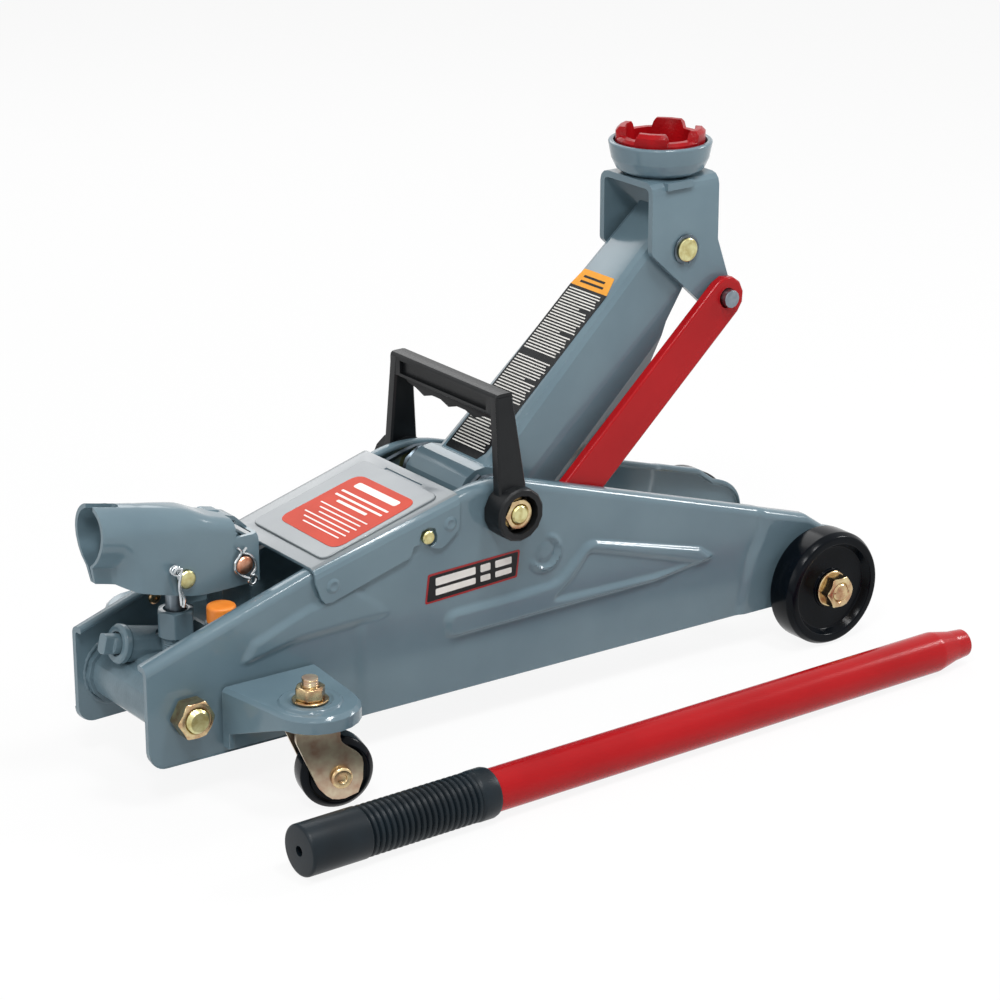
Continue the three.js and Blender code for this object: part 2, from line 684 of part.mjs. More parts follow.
function frontWheel(side) {
  const outer = WHEEL_WIDTH;
  const hubFace = outer - WHEEL_DISH + 1;
  const web = outer - WHEEL_DISH;
  const bore = AXLE_RADIUS + TURN_GAP;
  const profile = [
    [bore, -1.8], [WHEEL_HUB_RADIUS, -1.8], [WHEEL_HUB_RADIUS, 0],
    [WHEEL_RADIUS - WHEEL_EDGE, 0], [WHEEL_RADIUS, WHEEL_EDGE],
    [WHEEL_RADIUS, outer - WHEEL_EDGE], [WHEEL_RADIUS - 1.2, outer - 1.2], [WHEEL_RADIUS - WHEEL_EDGE, outer],
    [WHEEL_RADIUS - WHEEL_RIM - 1, outer], [WHEEL_RADIUS - WHEEL_RIM - 3.5, web],
    [WHEEL_HUB_RADIUS, web], [WHEEL_HUB_RADIUS, hubFace], [bore, hubFace], [bore, -1.8],
  ];
  const mesh = piece(`front_wheel_${side}`, tidy(outward(turned(profile, 20), side)), BLACK_NYLON);
  mesh.position.set(FRONT_AXLE.x, SIDES[side] * WHEEL_INNER_Y, FRONT_AXLE.z);
  return mesh;
}

// ---------------------------------------------------------------- casters

function casterBracketOutline(inset) {
  const lobe = CASTER_BRACKET_LOBE - inset;
  const wall = plateHalfWidth(CASTER.x) - 4;
  const shape = new THREE.Shape();
  shape.moveTo(CASTER_BRACKET_FRONT - inset, wall);
  shape.lineTo(CASTER_BRACKET_REAR + inset, wall);
  shape.absarc(CASTER.x + 2, CASTER.y + 1, lobe + 0.8, Math.PI * 0.93, Math.PI * 0.05, true);
  return shape;
}

function casterBracket(side) {
  const group = new THREE.Group();
  const top = CASTER_BRACKET_TOP;
  const sheet = CASTER_BRACKET_SHEET;
  const edge = 2;
  const heights = [CASTER_BRACKET_FOOT, top - edge, top];
  const loops = [0, 0, edge].map((inset) => casterBracketOutline(inset).getPoints(5));
  const skin = loft(loops, (p, i) => new THREE.Vector3(p.x, p.y, heights[i]));
  const hollow = slabZ(casterBracketOutline(sheet), CASTER_BRACKET_FOOT - 10, top - sheet, 5);
  const web = plateHalfWidth(CASTER.x) + 4.5;
  const far = CASTER.y + CASTER_BRACKET_LOBE + 10;
  const low = CASTER_BRACKET_FOOT - 10;
  const skirtLine = outline([
    [web, low], [web, CASTER_BRACKET_FOOT + 8], [CASTER.y + 6, top - CASTER_BRACKET_SKIRT],
    [far, top - CASTER_BRACKET_SKIRT], [far, low],
  ]);
  const under = new THREE.ExtrudeGeometry(skirtLine, { depth: 200, bevelEnabled: false })
    .rotateX(Math.PI / 2).rotateZ(Math.PI / 2).translate(-30, 0, 0);
  const chassis = box(-200, 200, -PLATE_REAR_HALF_WIDTH, SEAT_GAP, 0, 200)
    .rotateZ(PLATE_TAPER).translate(0, PLATE_REAR_HALF_WIDTH, 0);
  const dome = turned([
    [0, -1], [17, -1], [15, 1.2], [11.5, 1.2], [10, 0.2], [0, 0.2],
  ], 14).rotateX(Math.PI / 2).translate(CASTER.x, CASTER.y, top);
  const studHole = cylinderZ(CASTER.x, CASTER.y, STUD_RADIUS + SEAT_GAP, 0, 100, 12);
  const geometry = shaped(skin, { add: [dome], cut: [hollow, under, chassis, studHole] });
  group.add(piece(`caster_bracket_${side}`, tidy(outward(geometry, side)), GREY_PAINT));
  return group;
}

// fork, wheel and axle point back from the stud at the origin, before the swivel turns them
function casterFork() {
  const inner = CASTER_WHEEL_WIDTH / 2 + 0.8;
  const outer = inner + FORK_SHEET;
  const axleZ = CASTER_WHEEL_RADIUS;
  const profile = roundedOutline([
    [-11, FORK_TOP, 2],
    [-11, FORK_TOP - 9, 6],
    [CASTER_TRAIL - FORK_BOSS, axleZ - 4, 9],
    [CASTER_TRAIL - 5, axleZ - FORK_BOSS, 8],
    [CASTER_TRAIL + FORK_BOSS - 1, axleZ - FORK_BOSS, 9],
    [CASTER_TRAIL + FORK_BOSS, axleZ + 9, 7],
    [11, FORK_TOP - 12, 6],
    [11, FORK_TOP, 2],
  ]);
  const gap = box(-40, 60, -inner, inner, -10, FORK_TOP - FORK_SHEET);
  const stud = cylinderZ(0, 0, STUD_RADIUS, FORK_TOP - 1, CASTER_BRACKET_TOP + 12.5, 12);
  const race = cylinderZ(0, 0, 12, FORK_TOP - 1, CASTER_BRACKET_TOP - CASTER_BRACKET_SHEET - SEAT_GAP, 12);
  const axleHole = cylinderY(CASTER_TRAIL, axleZ, CASTER_AXLE_RADIUS + SEAT_GAP, -50, 50, 12);
  return shaped(slabY(profile, -outer, outer, 2), { add: [stud, race], cut: [gap, axleHole] });
}

function casterWheel() {
  const half = CASTER_WHEEL_WIDTH / 2;
  const radius = CASTER_WHEEL_RADIUS;
  const bore = CASTER_AXLE_RADIUS + TURN_GAP;
  return tidy(turned([
    [bore, -half], [7, -half], [8, 1 - half], [radius - 4.5, 1 - half], [radius - 3, -half],
    [radius, 3 - half], [radius, half - 3],
    [radius - 3, half], [radius - 4.5, half - 1], [8, half - 1], [7, half], [bore, half], [bore, -half],
  ], 14));
}

function casterAxle() {
  const reach = CASTER_WHEEL_WIDTH / 2 + 0.8 + FORK_SHEET + SEAT_GAP;
  const head = [
    [CASTER_AXLE_RADIUS, reach], [5, reach], [4.6, reach + 1.6], [3, reach + 2.4], [0, reach + 2.4],
  ];
  const lower = head.map(([r, y]) => [r, -y]).reverse();
  return tidy(turned([...lower, ...head], 12));
}

function caster(side) {
  const group = new THREE.Group();
  const swivel = new THREE.Group();
  swivel.position.set(CASTER.x, SIDES[side] * CASTER.y, 0);
  swivel.rotation.z = SIDES[side] * CASTER_SWIVEL;
  swivel.add(piece(`caster_fork_${side}`, casterFork(), YELLOW_ZINC));
  const wheel = piece(`caster_wheel_${side}`, casterWheel(), BLACK_NYLON);
  const axle = piece(`caster_axle_${side}`, casterAxle(), YELLOW_ZINC);
  for (const turning of [wheel, axle]) turning.position.set(CASTER_TRAIL, 0, CASTER_WHEEL_RADIUS);
  swivel.add(wheel, axle);
  const washer = ring(STUD_RADIUS + SEAT_GAP, 9, 0, 1.2, 12);
  const nut = nutGeometry(13, 6.5, STUD_RADIUS + SEAT_GAP).translate(0, 1.1, 0);
  const nutMesh = piece(`caster_nut_${side}`, shaped(washer, { add: [nut] }), YELLOW_ZINC);
  nutMesh.rotation.x = Math.PI / 2;
  nutMesh.position.set(0, 0, CASTER_BRACKET_TOP + 0.2 + SEAT_GAP);
  swivel.add(nutMesh);
  group.add(swivel);
  return group;
}

// ---------------------------------------------------------------- lift arm

function armLoop(u) {
  const t = u / ARM_LENGTH;
  const half = mix(ARM_BASE_HALF_WIDTH, ARM_NOSE_HALF_WIDTH, t);
  const top = mix(ARM_BASE_TOP, ARM_NOSE_TOP, t);
  const low = -mix(ARM_BASE_DEPTH, ARM_NOSE_DEPTH, t);
  const knee = -ARM_FOLD_DEPTH;
  const mid = (low + knee) / 2;
  const inner = ARM_BEND - ARM_SHEET;
  const right = [
    point(half - ARM_LIP_INSET, low),
    point(half - ARM_LIP_INSET * 0.28, mid),
    point(half, knee),
    ...arcPoints(half - ARM_BEND, top - ARM_BEND, ARM_BEND, 0, Math.PI / 2, 2),
  ];
  const under = [
    ...arcPoints(half - ARM_BEND, top - ARM_BEND, inner, Math.PI / 2, 0, 1),
    point(half - ARM_SHEET, knee),
    point(half - ARM_SHEET - ARM_LIP_INSET * 0.28, mid),
    point(half - ARM_SHEET - ARM_LIP_INSET, low),
  ];
  const mirrored = (points) => points.map((p) => point(-p.x, p.y)).reverse();
  return [...right, ...mirrored(right), ...mirrored(under), ...under];
}

// side view of the channel: round at both ends, cut up to the nose underneath
function armSideShape() {
  const nose = SADDLE_PIN_RADIUS + 6;
  const deep = ARM_BASE_DEPTH + 20;
  const shape = new THREE.Shape();
  shape.moveTo(0, 40);
  shape.lineTo(0, SLEEVE_RADIUS + 3);
  shape.absarc(0, 0, SLEEVE_RADIUS + 3, Math.PI / 2, 1.3 * Math.PI);
  shape.lineTo(2, -deep);
  shape.lineTo(ARM_LENGTH * 0.6, -deep);
  shape.lineTo(ARM_LENGTH * 0.64, -42);
  shape.lineTo(ARM_LENGTH * 0.73, -34);
  shape.lineTo(ARM_LENGTH * 0.82, -25.5);
  shape.lineTo(ARM_LENGTH * 0.92, -20);
  shape.quadraticCurveTo(ARM_LENGTH + nose, -nose, ARM_LENGTH + nose, 4);
  shape.lineTo(ARM_LENGTH + nose - 5, 40);
  shape.closePath();
  return shape;
}

// ear with a straight slot that the ram's pin runs in
function crankEar(y0) {
  const near = RAM_REACH.below;
  const far = near / Math.cos(CRANK_SWING);
  const tip = far + RAM_PIN_RADIUS + 7;
  const ear = new THREE.Shape();
  ear.moveTo(-SLEEVE_RADIUS, 0);
  ear.lineTo(-CRANK_HALF_WIDTH, -tip + CRANK_HALF_WIDTH);
  ear.absarc(0, -tip + CRANK_HALF_WIDTH, CRANK_HALF_WIDTH, Math.PI, 2 * Math.PI);
  ear.lineTo(SLEEVE_RADIUS, 0);
  ear.closePath();
  const slot = RAM_PIN_RADIUS + 2.3;
  const hole = new THREE.Path();
  hole.absarc(0, -near + 1, slot, 0, Math.PI);
  hole.absarc(0, -far - 1, slot, Math.PI, 2 * Math.PI);
  hole.closePath();
  ear.holes.push(hole);
  const lead = CRANK_LEAD + RAM_PITCH - ARM_ANGLE;
  return slabY(ear, y0, y0 + CRANK_PLATE, 3).rotateY(-lead);
}

function liftArm() {
  const stations = [-20, ARM_LENGTH + 20];
  const channel = loft(stations.map(armLoop), (p, i) => new THREE.Vector3(stations[i], p.x, p.y));
  const shell = geometryOf(solid(channel).intersect(solid(slabY(armSideShape(), -60, 60, 3))));
  const crankY = RAM_EYE_HALF_WIDTH + 2;
  const core = cylinderY(0, 0, SLEEVE_RADIUS, -SLEEVE_HALF_LENGTH, SLEEVE_HALF_LENGTH, 16);
  return shaped(shell, {
    add: [core, crankEar(crankY), crankEar(-crankY - CRANK_PLATE)],
    cut: [
      cylinderY(0, 0, SHAFT_RADIUS + TURN_GAP, -60, 60, 12),
      cylinderY(ARM_LENGTH, 0, SADDLE_PIN_RADIUS + TURN_GAP, -60, 60, 12),
    ],
  });
}

function liftArmGroup() {
  const group = new THREE.Group();
  group.position.set(SHAFT.x, 0, SHAFT.z);
  group.rotation.y = -ARM_ANGLE;
  group.add(piece('lift_arm', liftArm(), GREY_PAINT));
  return group;
}

// torsion spring on the shaft beside the arm's sleeve, its tail resting on the cover rod
function returnSpring(side) {
  const start = SLEEVE_HALF_LENGTH + SPRING_WIRE + SEAT_GAP;
  const end = plateHalfWidth(COVER_ROD.x) - FLANGE_WIDTH - SPRING_WIRE - SEAT_GAP;
  const rest = COVER_ROD_RADIUS + SPRING_WIRE + SEAT_GAP;
  const tail = new THREE.Vector3(COVER_ROD.x - SHAFT.x - 4, end, COVER_ROD.z - SHAFT.z + rest);
  const leave = Math.PI / 2 + Math.atan2(SPRING_COIL - tail.z, -tail.x);
  const steps = 18;
  const points = Array.from({ length: steps + 1 }, (_, i) => {
    const angle = leave - 2 * Math.PI * SPRING_TURNS * (1 - i / steps);
    const across = mix(start, end, i / steps);
    return new THREE.Vector3(SPRING_COIL * Math.cos(angle), across, SPRING_COIL * Math.sin(angle));
  });
  points.push(points.at(-1).clone().lerp(tail, 0.5), tail);
  const curve = new THREE.CatmullRomCurve3(points, false, 'centripetal');
  const coil = outward(wire(curve, SPRING_WIRE, 26, 5), side);
  const mesh = piece(`return_spring_${side}`, tidy(coil), SPRING_STEEL);
  mesh.position.set(SHAFT.x, 0, SHAFT.z);
  return mesh;
}

// ---------------------------------------------------------------- parallel links

function linkBar(side) {
  const span = Math.hypot(LINK_PIN.x - LINK_PIVOT.x, LINK_PIN.z - LINK_PIVOT.z);
  const angle = Math.atan2(LINK_PIN.z - LINK_PIVOT.z, LINK_PIN.x - LINK_PIVOT.x);
  const splay = Math.atan2(LINK_BASE_INSET - LINK_TOP_INSET, span);
  const shape = new THREE.Shape();
  shape.absarc(0, 0, LINK_HALF_WIDTH, Math.PI / 2, 1.5 * Math.PI);
  shape.absarc(span, 0, LINK_HALF_WIDTH, -Math.PI / 2, Math.PI / 2);
  shape.closePath();
  const bevel = 0.8;
  const bar = new THREE.ExtrudeGeometry(shape, {
    depth: LINK_THICKNESS - 2 * bevel, curveSegments: 3,
    bevelEnabled: true, bevelThickness: bevel, bevelSize: bevel, bevelOffset: -bevel, bevelSegments: 1,
  }).translate(0, 0, bevel - LINK_THICKNESS / 2).rotateX(Math.PI / 2).rotateZ(-splay);
  const hole = (x, y) => cylinderY(x, 0, LINK_PIN_RADIUS + TURN_GAP, y - 20, y + 20, 12);
  const geometry = shaped(bar, {
    cut: [hole(0, 0), hole(span * Math.cos(splay), -span * Math.sin(splay))],
  });
  const mesh = piece(`link_${side}`, tidy(outward(geometry, side)), RED_PAINT);
  mesh.position.set(LINK_PIVOT.x, SIDES[side] * LINK_BASE_INSET, LINK_PIVOT.z);
  mesh.rotation.y = -angle;
  return mesh;
}

// stub pin on the plate's inner face, with a shoulder that spaces the link off the plate
function linkPivotPin(side) {
  const wall = plateInner(LINK_PIVOT.x) - SEAT_GAP;
  const shoulder = LINK_BASE_INSET + LINK_THICKNESS / 2 + 0.6;
  const inner = LINK_BASE_INSET - LINK_THICKNESS / 2 - 0.6;
  const profile = [
    [0, inner - 2], [7.2, inner - 2], [7.2, inner], [LINK_PIN_RADIUS, inner],
    [LINK_PIN_RADIUS, shoulder], [8, shoulder], [8, wall], [0, wall],
  ];
  const mesh = piece(`link_pivot_pin_${side}`, tidy(outward(turned(profile, 12), side)), DARK_STEEL);
  mesh.position.set(LINK_PIVOT.x, 0, LINK_PIVOT.z);
  return mesh;
}

// ---------------------------------------------------------------- saddle bracket and its pins

function bracketCheekOutline() {
  const top = BRACKET_RISE;
  return roundedOutline([
    [-BRACKET_REAR, top + 10, 0],
    [-BRACKET_REAR, 0, 3],
    [LINK_PIN_OFFSET.x - BRACKET_LOBE, LINK_PIN_OFFSET.z - BRACKET_LOBE * 0.4, 6],
    [LINK_PIN_OFFSET.x + BRACKET_LOBE * 0.1, LINK_PIN_OFFSET.z - BRACKET_LOBE * 1.2, 7],
    [LINK_PIN_OFFSET.x + BRACKET_LOBE * 1.05, LINK_PIN_OFFSET.z - BRACKET_LOBE * 0.3, 7],
    [LINK_PIN_OFFSET.x + BRACKET_LOBE * 0.45, LINK_PIN_OFFSET.z + BRACKET_LOBE, 5],
    [BRACKET_FRONT, 2, 5],
    [BRACKET_FRONT, top + 10, 0],
  ]);
}

function saddleBracket() {
  const half = BRACKET_HALF_WIDTH;
  const bend = BRACKET_BEND;
  const low = LINK_PIN_OFFSET.z - 2.5 * BRACKET_LOBE;
  const right = [
    point(half, low),
    ...arcPoints(half - bend, BRACKET_RISE - bend, bend, 0, Math.PI / 2, 3),
  ];
  const inner = bend - BRACKET_SHEET;
  const under = [
    ...arcPoints(half - bend, BRACKET_RISE - bend, inner, Math.PI / 2, 0, 2),
    point(half - BRACKET_SHEET, low),
  ];
  const mirrored = (points) => points.map((p) => point(-p.x, p.y)).reverse();
  const loop = [...right, ...mirrored(right), ...mirrored(under), ...under];
  const reach = [-BRACKET_REAR, LINK_PIN_OFFSET.x + 2 * BRACKET_LOBE];
  const yoke = loft(reach.map(() => loop), (p, i) => new THREE.Vector3(reach[i], p.x, p.y));
  const stopTab = box(-13.5, 3.5, -half - 1.6, -half + bend, BRACKET_RISE - 4.5, BRACKET_RISE - 0.6);
  const hole = (x, z, radius) => cylinderY(x, z, radius, -60, 60, 12);
  return shaped(yoke, {
    add: [stopTab],
    keep: [slabY(bracketCheekOutline(), -60, 60, 2)],
    cut: [
      hole(0, 0, SADDLE_PIN_RADIUS + SEAT_GAP),
      hole(LINK_PIN_OFFSET.x, LINK_PIN_OFFSET.z, LINK_PIN_RADIUS + SEAT_GAP),
      cylinderZ(0, 0, CUP_STEM_RADIUS + TURN_GAP, 10, 60, 12),
    ],
  });
}

// pin on the Y axis with a groove near each end for a snap ring
function saddlePin() {
  const groove = BRACKET_HALF_WIDTH + SEAT_GAP;
  const r = SADDLE_PIN_RADIUS;
  const upper = [
    [r, groove], [r - 1, groove], [r - 1, groove + 1.4],
    [r, groove + 1.4], [r, groove + 2.4], [0, groove + 2.4],
  ];
  const lower = upper.map(([radius, y]) => [radius, -y]).reverse();
  return tidy(turned([...lower, ...upper], 12));
}

function snapRing(side) {
  const r = SADDLE_PIN_RADIUS;
  const groove = BRACKET_HALF_WIDTH + SEAT_GAP;
  const circlip = ring(r - 0.7, r + 1.9, groove + 0.25, groove + 1.15, 14);
  const mouth = box(-1.6, 1.6, 0, 60, -20, -2);
  return piece(`snap_ring_${side}`, tidy(outward(shaped(circlip, { cut: [mouth] }), side)), BLACK_NYLON);
}

function linkTopPin(side) {
  const start = BRACKET_HALF_WIDTH - BRACKET_SHEET - 3;
  const outer = LINK_TOP_INSET + LINK_THICKNESS / 2 + 1.4;
  const profile = [
    [0, start], [LINK_PIN_RADIUS + 2, start], [LINK_PIN_RADIUS + 2, start + 2.6],
    [LINK_PIN_RADIUS, start + 2.6], [LINK_PIN_RADIUS, outer + 2.2], [0, outer + 2.2],
  ];
  const mesh = piece(`link_top_pin_${side}`, tidy(outward(turned(profile, 12), side)), BRIGHT_STEEL);
  mesh.position.set(LINK_PIN_OFFSET.x, 0, LINK_PIN_OFFSET.z);
  return mesh;
}

function saddleCup() {
  const rim = CUP_RIM_RADIUS;
  const inside = rim - CUP_WALL;
  const profile = [
    [0, -CUP_STEM_LENGTH], [CUP_STEM_RADIUS, -CUP_STEM_LENGTH], [CUP_STEM_RADIUS, 0],
    [CUP_BASE_RADIUS, 0], [CUP_BASE_RADIUS + 3.2, 2.2], [rim - 1.6, CUP_HEIGHT * 0.45],
    [rim, CUP_HEIGHT - 0.8], [rim - 0.8, CUP_HEIGHT], [inside, CUP_HEIGHT],
    [inside, CUP_FLOOR], [0, CUP_FLOOR],
  ];
  return tidy(turned(profile, 20).rotateX(Math.PI / 2));
}

function saddlePad() {
  const inside = PAD_RADIUS - PAD_RING_WALL;
  const base = turned([
    [0, 0], [PAD_RADIUS, 0], [PAD_RADIUS, PAD_RING_HEIGHT - 1.5], [PAD_RADIUS - 1.5, PAD_RING_HEIGHT],
    [inside, PAD_RING_HEIGHT], [inside, PAD_FLOOR], [0, PAD_FLOOR],
  ], 20).rotateX(Math.PI / 2);
  const crown = turned([
    [inside, PAD_FLOOR - 1], [PAD_RADIUS, PAD_FLOOR - 1], [PAD_RADIUS, PAD_LUG_HEIGHT - 2],
    [PAD_RADIUS - 2, PAD_LUG_HEIGHT], [inside, PAD_LUG_HEIGHT], [inside, PAD_FLOOR - 1],
  ], 20).rotateX(Math.PI / 2);
  const half = PAD_LUG_WIDTH / 2;
  const top = PAD_LUG_TOP_WIDTH / 2;
  const lugFace = roundedOutline([
    [-half, PAD_RING_HEIGHT - 2, 0], [half, PAD_RING_HEIGHT - 2, 0],
    [top, PAD_LUG_HEIGHT + 0.5, 3], [-top, PAD_LUG_HEIGHT + 0.5, 3],
  ]);
  let body = solid(base);
  for (let i = 0; i < 4; i += 1) {
    const turn = PAD_LUG_ANGLE - Math.PI / 2 + i * Math.PI / 2;
    const wedge = slabY(lugFace, 4, PAD_RADIUS + 4, 2).rotateZ(turn);
    body = body.add(solid(crown).intersect(solid(wedge)));
  }
  return geometryOf(body);
}

function saddleGroup() {
  const group = new THREE.Group();
  group.position.set(ARM_TIP.x, 0, ARM_TIP.z);
  group.add(piece('saddle_bracket', saddleBracket(), GREY_PAINT));
  group.add(piece('saddle_pin', saddlePin(), YELLOW_ZINC));
  for (const side of Object.keys(SIDES)) group.add(snapRing(side), linkTopPin(side));
  const cup = piece('saddle_cup', saddleCup(), GREY_PAINT);
  cup.position.z = BRACKET_RISE + SEAT_GAP;
  const pad = piece('saddle_pad', saddlePad(), RED_CASTING);
  pad.position.z = BRACKET_RISE + CUP_FLOOR + 2 * SEAT_GAP;
  const retainer = ring(CUP_STEM_RADIUS + SEAT_GAP, CUP_STEM_RADIUS + 3.5, 0, 1.4, 20);
  const clip = piece('saddle_retainer', tidy(retainer.rotateX(Math.PI / 2)), DARK_STEEL);
  clip.position.z = BRACKET_RISE - BRACKET_SHEET - SEAT_GAP - 1.4;
  group.add(cup, pad, clip);
  return group;
}

// ---------------------------------------------------------------- power unit

function alongRam(geometry) {
  return geometry.rotateY(-RAM_PITCH).translate(REAR_BOLT.x, 0, REAR_BOLT.z);
}

function crossTube() {
  const half = CROSS_TUBE_HALF_LENGTH;
  const bore = REAR_BOLT_RADIUS + SEAT_GAP;
  const collar = half - 4;
  const upper = [
    [CROSS_TUBE_RADIUS, collar], [COLLAR_RADIUS, collar], [COLLAR_RADIUS, half], [bore, half],
  ];
  const lower = upper.map(([r, y]) => [r, -y]).reverse();
  return turned([...lower, ...upper, lower[0]], 12).translate(REAR_BOLT.x, 0, REAR_BOLT.z);
}

// places a piece of the release valve, drawn along X from the mouth of its boss
function onValveAxis(geometry) {
  return geometry.rotateY(VALVE.pitch).translate(VALVE.x, VALVE.y, VALVE.z);
}

// one casting: cross tube, pump body, valve boss, yoke post and filler seat
function pumpBlock() {
  const gapAbovePump = PUMP.x + GLAND_ACROSS_FLATS / 2 + 4;
  const body = slabY(roundedOutline([
    [REAR_BOLT.x - 6, REAR_BOLT.z - 12, 6],
    [BLOCK_FRONT, REAR_BOLT.z - 16, 6],
    [BLOCK_FRONT, BLOCK_TOP, 4],
    [gapAbovePump, BLOCK_TOP, 2],
    [gapAbovePump, BLOCK_STEP_TOP, 2],
    [REAR_BOLT.x - 4, BLOCK_STEP_TOP, 6],
  ]), -BLOCK_HALF_WIDTH, BLOCK_HALF_WIDTH, 2);
  const post = slabY(roundedOutline([
    [YOKE_PIN.x - 8.5, BLOCK_TOP - 6, 0], [YOKE_PIN.x + 8, BLOCK_TOP - 6, 0],
    [YOKE_PIN.x + 8.5, YOKE_PIN.z + 8.5, 8], [YOKE_PIN.x - 8.5, YOKE_PIN.z + 8.5, 8],
  ]), -YOKE_HALF_WIDTH, YOKE_HALF_WIDTH, 3);
  const seatTop = BLOCK_TOP + PLUG.seat;
  const glandRoom = GLAND_ACROSS_FLATS / Math.sqrt(3) + 1;
  return shaped(body, {
    add: [
      crossTube(),
      cylinderZ(PUMP.x, PUMP.y, PUMP_BOSS_RADIUS, REAR_BOLT.z, GLAND_BASE, 12),
      onValveAxis(cylinderX(0, 0, VALVE_BOSS_RADIUS, 0, 34, 12)),
      post,
      cylinderZ(PLUG.x, PLUG.y, PLUG.radius + 1, BLOCK_TOP - 14, seatTop, 12),
    ],
    cut: [
      onValveAxis(cylinderX(0, 0, VALVE_RADIUS + TURN_GAP, -20, VALVE_DEPTH, 12)),
      cylinderY(YOKE_PIN.x, YOKE_PIN.z, SOCKET_PIN_RADIUS + TURN_GAP, -60, 60, 12),
      cylinderY(REAR_BOLT.x, REAR_BOLT.z, REAR_BOLT_RADIUS + SEAT_GAP, -60, 60, 12),
      cylinderZ(PUMP.x, PUMP.y, PLUNGER_RADIUS + TURN_GAP, PUMP_BORE_FLOOR, 200, 12),
      cylinderZ(PLUG.x, PLUG.y, PLUG.radius - 2 + SEAT_GAP, seatTop - 8, 200, 12),
      cylinderZ(PUMP.x, PUMP.y, glandRoom, GLAND_BASE, 200, 10),
    ],
  });
}

function powerUnit() {
  const group = new THREE.Group();
  group.add(piece('pump_block', pumpBlock(), GREY_PAINT));
  const blockFace = (BLOCK_FRONT - REAR_BOLT.x) / Math.cos(RAM_PITCH);
  const tubeStart = blockFace + 6;
  const tube = turned([
    [RAM_RADIUS + TURN_GAP, tubeStart],
    [RESERVOIR_RADIUS, tubeStart],
    [RESERVOIR_RADIUS, RESERVOIR_END - 3],
    [RESERVOIR_RADIUS - 3, RESERVOIR_END],
    [RAM_RADIUS + 4, RESERVOIR_END],
    [RAM_RADIUS + 4, RESERVOIR_END + 4],
    [RAM_RADIUS + TURN_GAP, RESERVOIR_END + 4],
    [RAM_RADIUS + TURN_GAP, tubeStart],
  ], 14).rotateZ(-Math.PI / 2);
  group.add(piece('reservoir_tube', tidy(alongRam(tube)), GREY_PAINT));

  const corner = GLAND_ACROSS_FLATS / Math.sqrt(3);
  const gland = shaped(
    new THREE.CylinderGeometry(corner, corner, GLAND_HEIGHT, 6).translate(0, GLAND_HEIGHT / 2, 0),
    {
      keep: [turned([
        [0, 0], [corner - 1.2, 0], [corner, 1.2], [corner, GLAND_HEIGHT - 1.5],
        [corner - 2, GLAND_HEIGHT], [0, GLAND_HEIGHT],
      ], 14)],
      cut: [cylinderY(0, 0, PLUNGER_RADIUS + TURN_GAP, -5, GLAND_HEIGHT + 5, 12)],
    },
  ).rotateY(-0.05).rotateX(Math.PI / 2).translate(PUMP.x, PUMP.y, GLAND_BASE + SEAT_GAP);
  group.add(piece('gland_nut', gland, GREY_PAINT));

  const plugStem = PLUG.radius - 2;
  const plug = turned([
    [0, -6], [plugStem - 1, -6], [plugStem, -5], [plugStem, 0], [PLUG.radius, 0],
    [PLUG.radius, PLUG.height - 1.5], [PLUG.radius - 1.5, PLUG.height], [0, PLUG.height],
  ], 14).rotateX(Math.PI / 2).translate(PLUG.x, PLUG.y, BLOCK_TOP + PLUG.seat + SEAT_GAP);
  group.add(piece('oil_filler_plug', tidy(plug), ORANGE_PLUG));
  return group;
}

function ram() {
  const group = new THREE.Group();
  const rest = RAM_REACH.rest;
  const blockFace = (BLOCK_FRONT - REAR_BOLT.x) / Math.cos(RAM_PITCH);
  const rod = cylinderX(0, 0, RAM_RADIUS, blockFace + 50, rest - 6, 14);
  const eye = cylinderY(rest, 0, RAM_EYE_RADIUS, -RAM_EYE_HALF_WIDTH, RAM_EYE_HALF_WIDTH, 14);
  const hole = cylinderY(rest, 0, RAM_PIN_RADIUS + SEAT_GAP, -60, 60, 12);
  group.add(piece('ram', alongRam(shaped(rod, { add: [eye], cut: [hole] })), BRIGHT_STEEL));
  const reach = RAM_EYE_HALF_WIDTH + CRANK_PLATE + 4;
  const pin = alongRam(cylinderY(rest, 0, RAM_PIN_RADIUS, -reach, reach, 12));
  group.add(piece('ram_pin', tidy(pin), DARK_STEEL));
  return group;
}

// stem with a flatted tang that the tip of the pump handle fits over
function releaseValve() {
  const stem = cylinderX(0, 0, VALVE_RADIUS, -9, VALVE_DEPTH - 1, 12);
  const flats = [1, -1].map((way) => box(-20, -4, way * 12 - 8.6, way * 12 + 8.6, -20, 20));
  return onValveAxis(shaped(stem, { cut: flats }));
}

// ---------------------------------------------------------------- handle socket

// stations along the socket: x, top, low edge, closing height, half width at the low edge, roof corner
const SOCKET_STATIONS = [
  [SOCKET_REAR, 147.3, 107.6, 116.2, 2.3, 13.6],
  [4, 144.9, 105, 113.5, 2.3, 13.6],
  [8, 144.1, 103, 111.8, 7.5, 13.6],
  [12, 143.4, 101.6, 110, 12.4, 13.6],
  [19, 141.9, 99.8, 108, 13.6, 13.2],
  [31, 139.4, 96.5, 106, 13.6, 12],
  [43, 136.2, 93.6, 104, 13.6, 9],
  [54, 130.6, 93.2, 103, 13.6, 7],
  [71, 125.6, 93.6, 102, 13.6, 5],
  [SOCKET_FRONT, 118.6, 94, 101, 13.6, 4],
];

